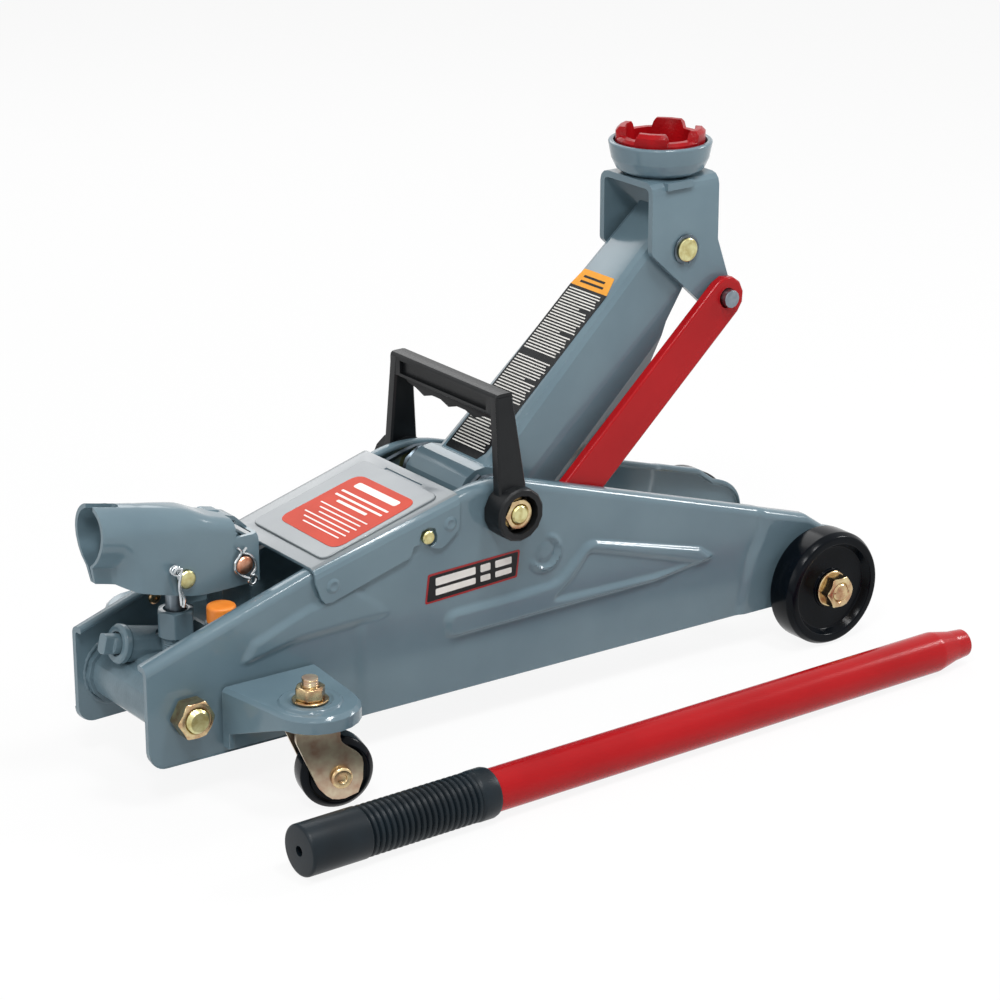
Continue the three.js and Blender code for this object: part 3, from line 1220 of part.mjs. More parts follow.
// section of the socket: a sheet wrapped round the bar, its two low edges pinched together at the rear
function socketLoop([, top, low, vee, foot, corner]) {
  const shoulder = top - corner;
  const inset = (half, share) => mix(foot, SOCKET_HALF_WIDTH, share) - SOCKET_HALF_WIDTH + half;
  const wrapped = (half, radius, least) => [
    point(Math.max(inset(half, 0), least), low),
    point(Math.max(inset(half, 0.06), least), vee),
    point(Math.max(inset(half, 0.72), least), mix(vee, shoulder, 0.42)),
    point(half, mix(vee, shoulder, 0.92)),
    ...arcPoints(SOCKET_HALF_WIDTH - corner, shoulder, radius, 0.25, 1.4, 2),
  ];
  const outer = wrapped(SOCKET_HALF_WIDTH, corner, 0);
  const under = wrapped(SOCKET_HALF_WIDTH - SOCKET_SHEET, corner - SOCKET_SHEET, 0.1);
  const flip = (points) => points.map((p) => point(-p.x, p.y));
  const roof = point(0, top);
  const ceiling = point(0, top - SOCKET_SHEET);
  return [...outer, roof, ...flip(outer).reverse(), ...flip(under), ceiling, ...under.reverse()];
}

function handleSocket() {
  const tilt = (z) => (z - 132) * 0.05 + Math.max(0, 115 - z) * 0.3;
  const lean = (p, x) => x + Math.max(0, 1 - (x - SOCKET_REAR) / 12) * tilt(p.y);
  const place = (p, i) => new THREE.Vector3(lean(p, SOCKET_STATIONS[i][0]), p.x, p.y);
  const shell = loft(SOCKET_STATIONS.map(socketLoop), place);
  const slotEnd = SOCKET_REAR + 15.5;
  const notch = roundedOutline([[-40, -3.4, 0], [slotEnd, -3.4, 3], [slotEnd, 3.4, 3], [-40, 3.4, 0]]);
  const slot = slabZ(notch, 132, 170, 2);
  const stop = slabY(roundedOutline([[56, 124, 0], [70, 118, 0], [67, 127.4, 2], [58, 129.4, 2]]), 4, 11, 2);
  const window = box(65.2, SOCKET_FRONT + 5, -SOCKET_HALF_WIDTH - 1, -3, 118.5, 140);
  const hole = (x, z) => cylinderY(x, z, SOCKET_PIN_RADIUS + SEAT_GAP, -60, 60, 12);
  return shaped(shell, {
    add: [stop],
    cut: [slot, window, hole(PUMP_PIN.x, PUMP_PIN.z), hole(YOKE_PIN.x, YOKE_PIN.z)],
  });
}

function socketPin(x, z) {
  const reach = SOCKET_HALF_WIDTH + 2.6;
  return tidy(cylinderY(x, z, SOCKET_PIN_RADIUS, -reach, reach, 12));
}

// spring clip on the near end of a pin: a wire through the legs' [x, z] points, seen from the right side
function springClip(pin, legs, apart) {
  const near = -SOCKET_HALF_WIDTH - 1.4;
  const depth = (i) => (i < legs.length / 2 ? near - apart : near);
  const points = legs.map(([x, z], i) => new THREE.Vector3(pin.x + x, depth(i), pin.z + z));
  const curve = new THREE.CatmullRomCurve3(points, false, 'centripetal');
  return tidy(wire(curve, 0.8, 15, 5));
}

// plunger whose head has a slot, because the pin swings on an arc while the plunger runs straight
function plunger() {
  const low = GLAND_BASE - 10;
  const rod = cylinderZ(PUMP.x, PUMP.y, PLUNGER_RADIUS, low, PUMP_PIN.z - 4, 12);
  const reach = SOCKET_PIN_RADIUS + 3;
  const head = slabY(roundedOutline([
    [PUMP_PIN.x - reach - 1, PUMP_PIN.z - reach, 3], [PUMP.x + reach + 1, PUMP_PIN.z - reach, 3],
    [PUMP.x + reach + 1, PUMP_PIN.z + reach, 5], [PUMP_PIN.x - reach - 1, PUMP_PIN.z + reach, 5],
  ]), -6, 6, 2);
  const hole = (x) => cylinderY(x, PUMP_PIN.z, SOCKET_PIN_RADIUS + TURN_GAP, -60, 60, 12);
  const slotHalf = (SOCKET_PIN_RADIUS + TURN_GAP) * 0.96;
  const slot = box(PUMP_PIN.x - 1, PUMP.x + 0.6, -60, 60, PUMP_PIN.z - slotHalf, PUMP_PIN.z + slotHalf);
  return shaped(rod, { add: [head], cut: [hole(PUMP_PIN.x - 1), slot, hole(PUMP.x + 0.6)] });
}

function socketGroup() {
  const group = new THREE.Group();
  group.add(piece('handle_socket', handleSocket(), GREY_PAINT));
  group.add(piece('pump_pin', socketPin(PUMP_PIN.x, PUMP_PIN.z), YELLOW_ZINC));
  group.add(piece('yoke_pin', socketPin(YOKE_PIN.x, YOKE_PIN.z), YELLOW_ZINC));
  group.add(piece('pump_pin_clip', springClip(PUMP_PIN, PUMP_CLIP, 1.9), BRIGHT_STEEL));
  group.add(piece('yoke_pin_clip', springClip(YOKE_PIN, YOKE_CLIP, 0.3), BRIGHT_STEEL));
  group.add(piece('pump_plunger', plunger(), BRIGHT_STEEL));
  return group;
}

// ---------------------------------------------------------------- carry handle

// closed loop of one leg at height z: an oblong that widens down to the boss
function legLoop(t, side) {
  const rear = mix(-GRIP_REAR, -9.6, t);
  const front = mix(GRIP_FRONT, 8.6, t);
  const outer = mix(GRIP_HALF_SPAN, HANDLE_BOSS_OUTER - 4.5, t);
  const c = 1;
  const inner = outer - GRIP_LEG;
  return [
    [rear + c, inner], [front - c, inner], [front, inner + c], [front, outer - c],
    [front - c, outer], [rear + c, outer], [rear, outer - c], [rear, inner + c],
  ].map(([x, y]) => point(x, SIDES[side] * y));
}

function carryHandle() {
  const top = GRIP_RISE;
  const legTop = top - 2;
  const parts = [];
  for (const side of Object.keys(SIDES)) {
    const heights = [0, legTop];
    const loops = [legLoop(1, side), legLoop(0, side)];
    parts.push(loft(loops, (p, i) => new THREE.Vector3(p.x, p.y, heights[i])));
    const boss = turned([
      [0, HANDLE_BOSS_INNER], [HANDLE_BOSS_RADIUS, HANDLE_BOSS_INNER],
      [HANDLE_BOSS_RADIUS, HANDLE_BOSS_OUTER - 1], [HANDLE_BOSS_RADIUS - 1, HANDLE_BOSS_OUTER],
      [0, HANDLE_BOSS_OUTER],
    ], 14);
    parts.push(outward(boss, side));
  }
  const bar = slabY(roundedOutline([
    [-GRIP_REAR, top, 2.5], [-GRIP_REAR, top - GRIP_BAR_HEIGHT, 1],
    [GRIP_FRONT, top - GRIP_BAR_HEIGHT, 1], [GRIP_FRONT, top, 2.5],
  ]), -GRIP_HALF_SPAN + 0.5, GRIP_HALF_SPAN - 0.5, 3);
  const fingers = new THREE.Shape();
  const reach = GRIP_HALF_SPAN - 3;
  fingers.moveTo(-reach, top - GRIP_BAR_HEIGHT + 1);
  fingers.lineTo(reach, top - GRIP_BAR_HEIGHT + 1);
  const waves = 12;
  for (let i = 0; i <= waves; i += 1) {
    const y = mix(reach, -reach, i / waves);
    const swell = 1 - Math.pow(Math.abs(y) / reach, 6);
    fingers.lineTo(y, top - GRIP_BAR_HEIGHT + 0.5 - swell * (6 + 1.5 * Math.cos(y / reach * 4 * Math.PI)));
  }
  fingers.closePath();
  const web = new THREE.ExtrudeGeometry(fingers, { depth: 4.5, bevelEnabled: false })
    .rotateX(Math.PI / 2).rotateZ(Math.PI / 2).translate(-4.2, 0, 0);
  const cuts = [];
  for (const side of Object.keys(SIDES)) {
    const bore = cylinderY(0, 0, SHAFT_RADIUS + TURN_GAP, 0, HANDLE_BOSS_INNER + 6.6, 12);
    const pocket = cylinderY(0, 0, 10.2, HANDLE_BOSS_INNER + 6, HANDLE_BOSS_OUTER + 5, 14);
    cuts.push(outward(bore, side), outward(pocket, side));
  }
  const bare = GRIP_HALF_SPAN - 9;
  cuts.push(box(-GRIP_REAR - 5, -GRIP_REAR + 2.2, -bare, bare, top - 10, top - 3.2));
  const [first, ...rest] = parts;
  return shaped(first, { add: [...rest, bar, web], cut: cuts });
}

// ---------------------------------------------------------------- pump handle

function pumpHandle() {
  const run = Math.hypot(BAR_END.x - BAR_START.x, BAR_END.y - BAR_START.y);
  const group = new THREE.Group();
  group.position.set(BAR_START.x, BAR_START.y, GRIP_RADIUS);
  group.rotation.z = Math.atan2(BAR_END.y - BAR_START.y, BAR_END.x - BAR_START.x);
  const lean = new THREE.Group();
  const gripEdge = GRIP_LENGTH - 8;
  lean.rotation.y = Math.asin((GRIP_RADIUS - BAR_RADIUS) / (run - BAR_TIP_LENGTH - gripEdge));
  lean.position.z = gripEdge * Math.sin(lean.rotation.y);
  const r = BAR_RADIUS;
  const start = GRIP_END_WALL + SEAT_GAP;
  const bar = turned([
    [r - BAR_WALL, start], [r, start], [r, run - BAR_TIP_LENGTH], [BAR_TIP_RADIUS + 0.8, run - 9],
    [BAR_TIP_RADIUS, run], [BAR_TIP_RADIUS - BAR_WALL, run], [r - BAR_WALL, run - BAR_TIP_LENGTH],
    [r - BAR_WALL, start],
  ], 12).rotateZ(-Math.PI / 2);
  const inner = r + SEAT_GAP;
  const grip = turned([
    [2.6, 0], [GRIP_RADIUS - 1.2, 0], [GRIP_RADIUS, 1.2],
    [GRIP_RADIUS, GRIP_LENGTH - 2], [inner + 0.6, GRIP_LENGTH], [inner, GRIP_LENGTH],
    [inner, GRIP_END_WALL], [2.6, GRIP_END_WALL], [2.6, 0],
  ], 12).rotateZ(-Math.PI / 2);
  lean.add(piece('pump_handle_bar', tidy(bar), RED_PAINT));
  lean.add(piece('pump_handle_grip', tidy(grip), BLACK_RUBBER));
  group.add(lean);
  return group;
}

// ---------------------------------------------------------------- assembly

function carryHandleGroup() {
  const mesh = piece('carry_handle', carryHandle(), BLACK_NYLON);
  mesh.position.set(SHAFT.x, 0, SHAFT.z);
  return mesh;
}

const jack = new THREE.Group();
for (const side of Object.keys(SIDES)) {
  jack.add(
    sidePlate(side), rearNut(side), axleNut(side), shaftNut(side), frontWheel(side),
    casterBracket(side), caster(side), returnSpring(side), linkBar(side), linkPivotPin(side),
  );
}
jack.add(
  piece('cover_plate', coverPlate(), GREY_PAINT),
  crossBolts(),
  liftArmGroup(),
  saddleGroup(),
  powerUnit(),
  ram(),
  piece('release_valve', releaseValve(), GREY_PAINT),
  socketGroup(),
  carryHandleGroup(),
  pumpHandle(),
);

// origin under the middle of the whole assembly, on the floor
const assembly = new THREE.Group();
assembly.add(jack);
assembly.updateMatrixWorld(true);
const bounds = new THREE.Box3().setFromObject(assembly, true);
const middle = bounds.getCenter(new THREE.Vector3());
jack.position.set(-middle.x, -middle.y, -bounds.min.z);
assembly.updateMatrixWorld(true);

export default assembly;
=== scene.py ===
from math import asin, atan2, cos, hypot, pi, radians, sin, sqrt, tan

import bmesh
import bpy
import numpy as np
from mathutils import Matrix, Vector


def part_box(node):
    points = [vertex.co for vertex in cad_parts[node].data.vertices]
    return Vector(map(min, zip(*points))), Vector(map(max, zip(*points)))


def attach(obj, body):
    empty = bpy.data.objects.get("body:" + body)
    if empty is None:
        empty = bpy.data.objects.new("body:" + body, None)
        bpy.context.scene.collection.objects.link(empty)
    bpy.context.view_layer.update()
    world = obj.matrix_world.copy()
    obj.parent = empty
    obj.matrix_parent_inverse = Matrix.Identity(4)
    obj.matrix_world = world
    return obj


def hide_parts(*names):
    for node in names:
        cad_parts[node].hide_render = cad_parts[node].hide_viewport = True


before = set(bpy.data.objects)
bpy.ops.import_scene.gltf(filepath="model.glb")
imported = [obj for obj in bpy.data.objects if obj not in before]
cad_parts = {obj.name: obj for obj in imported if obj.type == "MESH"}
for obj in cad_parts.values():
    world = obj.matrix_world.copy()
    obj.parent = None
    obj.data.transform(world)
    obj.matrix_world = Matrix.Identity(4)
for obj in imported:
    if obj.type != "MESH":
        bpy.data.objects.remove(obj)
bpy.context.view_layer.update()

# ---- places
# Sizes below are millimetres from the rear edge of the side plates, the mid-plane and the floor,
# and at() turns them into the frame's metres, using where the frame holds the lift-arm shaft.
# A pair such as SHAFT holds x, forward, and z, up.

MM = 0.001
SHAFT = (205.2, 112.8)
shaft_low, shaft_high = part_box("lift_arm_shaft")
ORIGIN = (Vector(shaft_low) + Vector(shaft_high)) / 2 - Vector((SHAFT[0], 0, SHAFT[1])) * MM

RIGHT, LEFT = -1, 1
SIDES = {"right": RIGHT, "left": LEFT}


def at(x, y, z):
    return ORIGIN + Vector((x, y, z)) * MM


# ---- finishes

# a noise texture keeps most of its values between these two
NOISE_LOW, NOISE_HIGH = 0.35, 0.65


def linear(code):
    """An sRGB hex colour as linear RGBA."""
    values = [int(code[i:i + 2], 16) / 255 for i in (1, 3, 5)]
    return [v / 12.92 if v <= 0.04045 else ((v + 0.055) / 1.055) ** 2.4 for v in values] + [1.0]


def add(tree, kind, inputs=None, **settings):
    """Adds a node with its settings; an input that is a socket is linked."""
    made = tree.nodes.new(kind)
    for key, value in settings.items():
        setattr(made, key, value)
    for key, value in (inputs or {}).items():
        if isinstance(value, bpy.types.NodeSocket):
            tree.links.new(value, made.inputs[key])
        else:
            made.inputs[key].default_value = value
    return made


def per_mm(size):
    """Texture scale that puts one feature every size millimetres."""
    return 1 / (size * MM)


def finish(name, slot, light, dark, patch, grain, depth=0.01, **surface):
    """A surface whose colour drifts between two tones over patch millimetres, with a relief
    of grain millimetres across and depth millimetres deep."""
    made = bpy.data.materials.new(name)
    made.use_nodes = True
    tree = made.node_tree
    shader = tree.nodes["Principled BSDF"]
    where = add(tree, "ShaderNodeTexCoord").outputs["Object"]
    drift = add(tree, "ShaderNodeTexNoise", {"Vector": where, "Scale": per_mm(patch), "Detail": 3.0})
    spread = add(tree, "ShaderNodeMapRange",
                 {"Value": drift.outputs["Fac"], "From Min": NOISE_LOW, "From Max": NOISE_HIGH})
    tone = add(tree, "ShaderNodeMix", {"Factor": spread.outputs["Result"]}, data_type="RGBA")
    tone.inputs["A"].default_value = linear(dark)
    tone.inputs["B"].default_value = linear(light)
    relief = add(tree, "ShaderNodeTexNoise", {"Vector": where, "Scale": per_mm(grain), "Detail": 2.0})
    bump = add(tree, "ShaderNodeBump",
               {"Height": relief.outputs["Fac"], "Distance": depth * MM, "Strength": 1.0})
    tree.links.new(tone.outputs["Result"], shader.inputs["Base Color"])
    tree.links.new(bump.outputs["Normal"], shader.inputs["Normal"])
    for key, value in surface.items():
        shader.inputs[key.replace("_", " ")].default_value = value
    return made


# Sprayed gloss enamel over pressed steel: blue-grey, with a faint orange peel, 2.6 mm from crest to
# crest, that breaks up highlights
grey_enamel = finish("grey_gloss_enamel_sprayed", "grey_paint", "#6B818B", "#637984", 45, 2.6, 0.02,
                     Roughness=0.13, IOR=1.5, Specular_IOR_Level=0.42)
# The same enamel painted a shade paler and warmer for the lid's top: a painted reflection of the bright studio
# that the top shows
reflection_painted_enamel = finish("grey_enamel_painted_lid_reflection", "grey_paint", "#82898C", "#787F84", 45, 2.6, 0.02,
                       Roughness=0.16, IOR=1.5)
# The same enamel over a sand casting, whose skin shows through the paint as a coarser grain
grey_casting = finish("grey_enamel_on_casting", "grey_paint", "#697E88", "#586D77", 14, 1.3, 0.12,
                      Roughness=0.28, IOR=1.5, Specular_IOR_Level=0.4)
# Sprayed red gloss enamel over flat bar and tube: deep and clean, with narrow highlights
red_enamel = finish("red_gloss_enamel_sprayed", "red_paint", "#AE1117", "#A40E14", 40, 2.2, 0.02,
                    Roughness=0.22, IOR=1.5, Specular_IOR_Level=0.2)
# Red enamel over the cast saddle pad: a pitted casting skin under the paint
red_casting = finish("red_enamel_on_casting", "red_paint", "#A51017", "#8E0D13", 12, 1.2, 0.15,
                     Roughness=0.28, IOR=1.5, Specular_IOR_Level=0.14)
# Yellow chromate over zinc plate, on nuts and washers: pale gold that drifts to pink, a satin metal
yellow_zinc = finish("yellow_chromate_zinc_plate", "yellow_zinc", "#D9C79A", "#B4906E", 5, 0.6,
                     Roughness=0.26, Metallic=1.0)
# The same plating where it came out greener, on pin and bolt ends
green_zinc = finish("green_gold_zinc_plate", "yellow_zinc", "#D8D4A0", "#B7AA72", 4, 0.5,
                    Roughness=0.3, Metallic=1.0)
# The same plating on the caster forks: a paler, straw-coloured film over bent sheet
straw_zinc = finish("straw_zinc_plate_on_sheet", "yellow_zinc", "#DAD2B6", "#B99A84", 9, 0.7,
                    Roughness=0.3, Metallic=1.0)
# A thick chromate film on the yoke pin, which turns it copper-pink
pink_zinc = finish("pink_chromate_zinc_plate", "yellow_zinc", "#D9A58A", "#B9785C", 3, 0.5,
                   Roughness=0.28, Metallic=1.0)
# Clear zinc plate on spring clips and the ram: cool silver with sharp glints
clear_zinc = finish("clear_zinc_plate", "bright_steel", "#D5D9DB", "#B4BABD", 4, 0.5,
                    Roughness=0.22, Metallic=1.0)
# Oiled steel of springs and hidden pins: dark with a soft shine
oiled_steel = finish("oiled_spring_steel", "dark_steel", "#6A747C", "#4B555C", 6, 0.5,
                     Roughness=0.32, Metallic=1.0)
# Ground steel of the links' top pins and the plunger: blue-grey and satin
grey_steel = finish("grey_ground_steel", "bright_steel", "#8D979F", "#79848C", 4, 0.5,
                    Roughness=0.36, Metallic=1.0)
# Glass-filled nylon of the wheels, moulded in a polished tool: near black, smooth and glossy
wheel_nylon = finish("moulded_black_nylon_gloss", "black_nylon", "#070D14", "#04080D", 20, 1.5,
                     Roughness=0.18, IOR=1.53, Specular_IOR_Level=0.09)
# Nylon of the carry handle, moulded in a spark-eroded tool: black with a fine satin grain
handle_nylon = finish("moulded_black_nylon_satin", "black_nylon", "#17191B", "#111315", 15, 0.7, 0.03,
                      Roughness=0.38, IOR=1.53, Specular_IOR_Level=0.22)
# Moulded rubber of the hand grip: blue-black with a soft sheen along its rings
grip_rubber = finish("moulded_black_rubber", "black_rubber", "#131E25", "#0F181E", 18, 0.8, 0.02,
                     Roughness=0.38, IOR=1.52, Specular_IOR_Level=0.22)
# Injection-moulded polyethylene of the filler plug: a waxy, slightly uneven orange
orange_polyethylene = finish("moulded_orange_polyethylene", "orange_plug", "#FF9A40", "#F58A2E", 8, 0.8,
                             Roughness=0.38, IOR=1.5)
# Orange-red vinyl of the cover's sticker: a flat ink under a clear coat that is a little dull
orange_vinyl = finish("orange_red_vinyl_sticker", "red_paint", "#CB3D22", "#C1361C", 20, 1.6,
                      Roughness=0.42, IOR=1.46, Specular_IOR_Level=0.15)
# Pale ink of bars and ruled rows: off-white under a glossy clear coat
pale_vinyl = finish("pale_grey_vinyl_print", "bright_steel", "#E9E7E2", "#DEDCD6", 12, 1.6,
                    Roughness=0.25, IOR=1.46)
# Black ground of the arm's and the badge's stickers: deep and even, with a thin gloss
black_vinyl = finish("black_vinyl_sticker", "black_nylon", "#15181A", "#0E1113", 16, 1.6,
                     Roughness=0.25, IOR=1.46, Specular_IOR_Level=0.3)
# Amber ink of the band at the arm sticker's upper end: bright and glossy
amber_vinyl = finish("amber_vinyl_print", "orange_plug", "#F0A32A", "#E89A20", 12, 1.6,
                     Roughness=0.25, IOR=1.46)
# Crimson ink of the badge's border: a dark, glossy red line
crimson_vinyl = finish("crimson_vinyl_print", "red_paint", "#9E1519", "#931216", 12, 1.6,
                       Roughness=0.25, IOR=1.46)


# ---- making pieces

# points closer than this, in metres, are one point: in a skin made here, and in a frame node's mesh
SKIN_MERGE, NODE_MERGE = 1e-6, 1e-5
# faces of a frame node that meet flatter than this are one face
FLAT = radians(1.5)


def show(name, data):
    """A new object in the scene."""
    obj = bpy.data.objects.new(name, data)
    bpy.context.scene.collection.objects.link(obj)
    return obj


def mend(mesh, merge=0.0, flat=0.0):
    """Merges a mesh's double points and flat faces, and turns its faces outward."""
    shape = bmesh.new()
    shape.from_mesh(mesh)
    if merge:
        bmesh.ops.remove_doubles(shape, verts=shape.verts, dist=merge)
    if flat:
        bmesh.ops.dissolve_limit(
            shape, angle_limit=flat, use_dissolve_boundaries=False, verts=shape.verts, edges=shape.edges)
    bmesh.ops.recalc_face_normals(shape, faces=shape.faces)
    shape.to_mesh(mesh)
    shape.free()


def mesh_of(name, verts, faces, merge=0.0):
    """A mesh from vertices in millimetres."""
    mesh = bpy.data.meshes.new(name)
    mesh.from_pydata([at(*v) for v in verts], [], faces)
    mend(mesh, merge)
    return mesh


def settle(obj, material, body, replaced):
    """Gives a piece its finish and its body, and hides the frame nodes that it stands for."""
    obj.data.materials.append(material)
    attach(obj, body)
    if replaced:
        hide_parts(*replaced)
    return obj


def skin(name, verts, faces, material, body, replaced=(), angle=35):
    """A piece from vertices in millimetres, with edges sharper than angle degrees kept sharp."""
    mesh = mesh_of(name, verts, faces, SKIN_MERGE)
    smooth(mesh, angle)
    return settle(show(name, mesh), material, body, replaced)


def smooth(mesh, angle):
    """Shades a mesh smooth, but for its edges sharper than angle degrees."""
    mesh.shade_smooth()
    mesh.set_sharp_from_angle(angle=radians(angle))


def soften(obj, width, segments=2, angle=30):
    """Rounds the edges of a piece that are sharper than angle degrees, by width millimetres."""
    edge = obj.modifiers.new("edge", "BEVEL")
    edge.width = width * MM
    edge.segments = segments
    edge.limit_method = "ANGLE"
    edge.angle_limit = radians(angle)
    edge.use_clamp_overlap = True
    edge.harden_normals = True
    return obj


def dressed(node, material, body, width=0.6, segments=2, angle=30, sharp=35):
    """Stands for a frame node: its own shape with the edges rounded by width millimetres."""
    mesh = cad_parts[node].data.copy()
    mesh.name = node + "_dressed"
    mesh.materials.clear()
    mend(mesh, NODE_MERGE, FLAT)
    smooth(mesh, sharp)
    obj = settle(show(node + "_dressed", mesh), material, body, [node])
    return soften(obj, width, segments, angle) if width else obj


def bent(t, start, middle, end):
    """A value or point on the way from start to end, drawn towards middle."""
    return (1 - t) ** 2 * start + 2 * t * (1 - t) * middle + t ** 2 * end


# the most of an edge that the rounding of one of its corners may take
EDGE_SHARE = 0.49


def rounded(points, radii, steps=4, closed=False):
    """A line of 2-D points with its corners rounded, by one radius or by one for each point."""
    points = [Vector(p) for p in points]
    if not isinstance(radii, (list, tuple)):
        radii = [radii] * len(points)
    line = []
    for i, (corner, radius) in enumerate(zip(points, radii)):
        end = not closed and i in (0, len(points) - 1)
        if end or radius <= 0:
            line.append(tuple(corner))
            continue
        back = points[i - 1] - corner
        ahead = points[(i + 1) % len(points)] - corner
        half = back.angle(ahead) / 2
        run = min(radius / tan(half), EDGE_SHARE * back.length, EDGE_SHARE * ahead.length)
        enter, leave = corner + back.normalized() * run, corner + ahead.normalized() * run
        line += [tuple(bent(k / steps, enter, corner, leave)) for k in range(steps + 1)]
    return line


def axis_y(x, z, side=1, start=0.0):
    """Local Z of a turned piece points along side * Y, from start."""
    turn = Matrix(((side, 0, 0), (0, 0, side), (0, -1, 0)))
    return Matrix.Translation((x, side * start, z)) @ turn.to_4x4()


def axis_z(x, y, z=0.0):
    """Local Z of a turned piece points up, from z."""
    return Matrix.Translation((x, y, z))


def turned(profile, sides=48, place=Matrix(), closed=True):
    """Vertices and faces of a profile of (radius, height) turned about local Z. One that starts
    off the axis is joined up with its end, unless closed is False."""
    verts, faces, rings = [], [], []
    for radius, height in profile:
        if radius < 1e-6:
            rings.append([len(verts)] * sides)
            verts.append(tuple(place @ Vector((0, 0, height))))
            continue
        rings.append(list(range(len(verts), len(verts) + sides)))
        for k in range(sides):
            turn = 2 * pi * k / sides
            spoke = Vector((radius * cos(turn), radius * sin(turn), height))
            verts.append(tuple(place @ spoke))
    pairs = list(zip(rings, rings[1:]))
    if closed and profile[0][0] > 1e-6:
        pairs.append((rings[-1], rings[0]))
    for low, high in pairs:
        for k in range(sides):
            n = (k + 1) % sides
            quad = [low[k], low[n], high[n], high[k]]
            face = [v for i, v in enumerate(quad) if v not in quad[:i]]
            if len(face) > 2:
                faces.append(face)
    return verts, faces


def lofted(loops, capped=True):
    """Skins a row of equal closed loops of 3-D points."""
    count = len(loops[0])
    verts = [tuple(p) for loop in loops for p in loop]
    faces = []
    for i in range(len(loops) - 1):
        for j in range(count):
            a, b = i * count + j, i * count + (j + 1) % count
            faces.append([a, b, b + count, a + count])
    if capped:
        faces.append(list(range(count))[::-1])
        faces.append([(len(loops) - 1) * count + j for j in range(count)])
    return verts, faces


# a nut's corners are cut by a cone of this slope, which meets its face at this share of the flats,
# and its bore opens by NUT_MOUTH millimetres at the face
NUT_CONE, NUT_FACE, NUT_MOUTH = radians(31), 0.97, 0.7


def nut_rings(across_flats, height, bore, chamfer_both=False, sides=72, place=Matrix()):
    """A hexagon nut on local Z from 0 to height, with its corners cut at the top or at both ends."""
    corner = across_flats / sqrt(3)
    flat = across_flats / 2
    drop = (corner - flat) * 0.75

    def radius(turn, z):
        hexagon = flat / cos((turn % (pi / 3)) - pi / 6)
        cone = flat * NUT_FACE + (height - z) / tan(NUT_CONE)
        if chamfer_both:
            cone = min(cone, flat * NUT_FACE + z / tan(NUT_CONE))
        return min(hexagon, cone)

    heights = [height - drop * k / 6 for k in range(7)][::-1]
    low = [drop * k / 6 for k in range(7)] if chamfer_both else [0]
    rows = [(bore, 0.0)] + [(None, z) for z in low + heights]
    rows += [(bore + NUT_MOUTH, height), (bore, height - NUT_MOUTH)]
    loops = [[] for row in rows]
    for loop, (fixed, z) in zip(loops, rows):
        for turn in [2 * pi * (k + 0.5) / sides for k in range(sides)]:
            out = fixed or radius(turn, z)
            loop.append(place @ Vector((out * cos(turn), out * sin(turn), z)))
    return lofted([*loops, loops[0]], capped=False)


def joined(*parts):
    """Several shapes as one list of vertices and one of faces."""
    verts, faces = [], []
    for v, f in parts:
        start = len(verts)
        verts += v
        faces += [[i + start for i in face] for face in f]
    return verts, faces


def wire(points, radius, sides=10):
    """Round wire through points, with closed ends."""
    points = [Vector(p) for p in points]
    loops, side = [], None
    for i, p in enumerate(points):
        along = (points[min(i + 1, len(points) - 1)] - points[max(i - 1, 0)]).normalized()
        if side is None:
            side = along.orthogonal().normalized()
        side = (side - along * side.dot(along)).normalized()
        up = along.cross(side)
        turns = [2 * pi * k / sides for k in range(sides)]
        loops.append([p + (side * cos(t) + up * sin(t)) * radius for t in turns])
    return lofted(loops)


def curve_through(points, per=6):
    """Smooth Catmull-Rom line through points."""
    points = [Vector(p) for p in points]
    ends = [2 * points[0] - points[1], *points, 2 * points[-1] - points[-2]]
    line = []
    for a, b, c, d in zip(ends, ends[1:], ends[2:], ends[3:]):
        for k in range(per):
            t = k / per
            bend = (2 * a - 5 * b + 4 * c - d) * t * t + (3 * b - 3 * c + d - a) * t ** 3
            line.append(0.5 * (2 * b + (c - a) * t + bend))
    return line + [points[-1]]


# depth of a rolled thread, as a share of its pitch
THREAD_DEPTH = 0.45


def thread(start, end, radius, pitch=1.25, tip=0.8):
    """Profile of a threaded end, from height start to end, as rings, with a chamfer at its tip."""
    depth = pitch * THREAD_DEPTH
    line = []
    z = start
    while z + pitch < end - tip:
        line += [(radius, z), (radius - depth, z + pitch / 2)]
        z += pitch
    return line + [(radius, z), (radius, end - tip), (radius - tip, end), (0, end)]


# ---- side plates

PLATE_LENGTH = 436.5
PLATE_SHEET = 3.0
PLATE_BOTTOM = 20.0
PLATE_CORNER = 9.0
# outer radius of the bend between the plate's face and its rolled top flange
PLATE_BEND = 4.5
# how far the flange reaches in, over the frame and at the nose, and where it narrows
FLANGE, FLANGE_NOSE = 8.2, 5.4
NARROWS, NARROWING = 401, 15
# half the width over the plates at their rear edge, and how far each one leans out going forward
REAR_HALF = 37.15
TAPER = radians(1.62)
LINK_PIVOT = (229.6, 83.9)
# the top edge: a rear slope with a kink, a crown over the shaft, a front slope, a shoulder and the nose
REAR_TOP, KINK = (0, 73), (95, 102.8)
CROWN_START, CROWN_PEAK, CROWN_END = (182, 125.6), (200, 130.4), (222, 123.6)
SLOPE_END, NOSE = (403, 68.1), (416, 59)
NOSE_BULGE, NOSE_TIP = 53.5, 38


def beside(side, along, out, z):
    """A point beside a side plate: along it from its rear edge, out from its face, and up."""
    x = along * cos(TAPER) - out * sin(TAPER)
    return (x, side * (REAR_HALF + along * sin(TAPER) + out * cos(TAPER)), z)


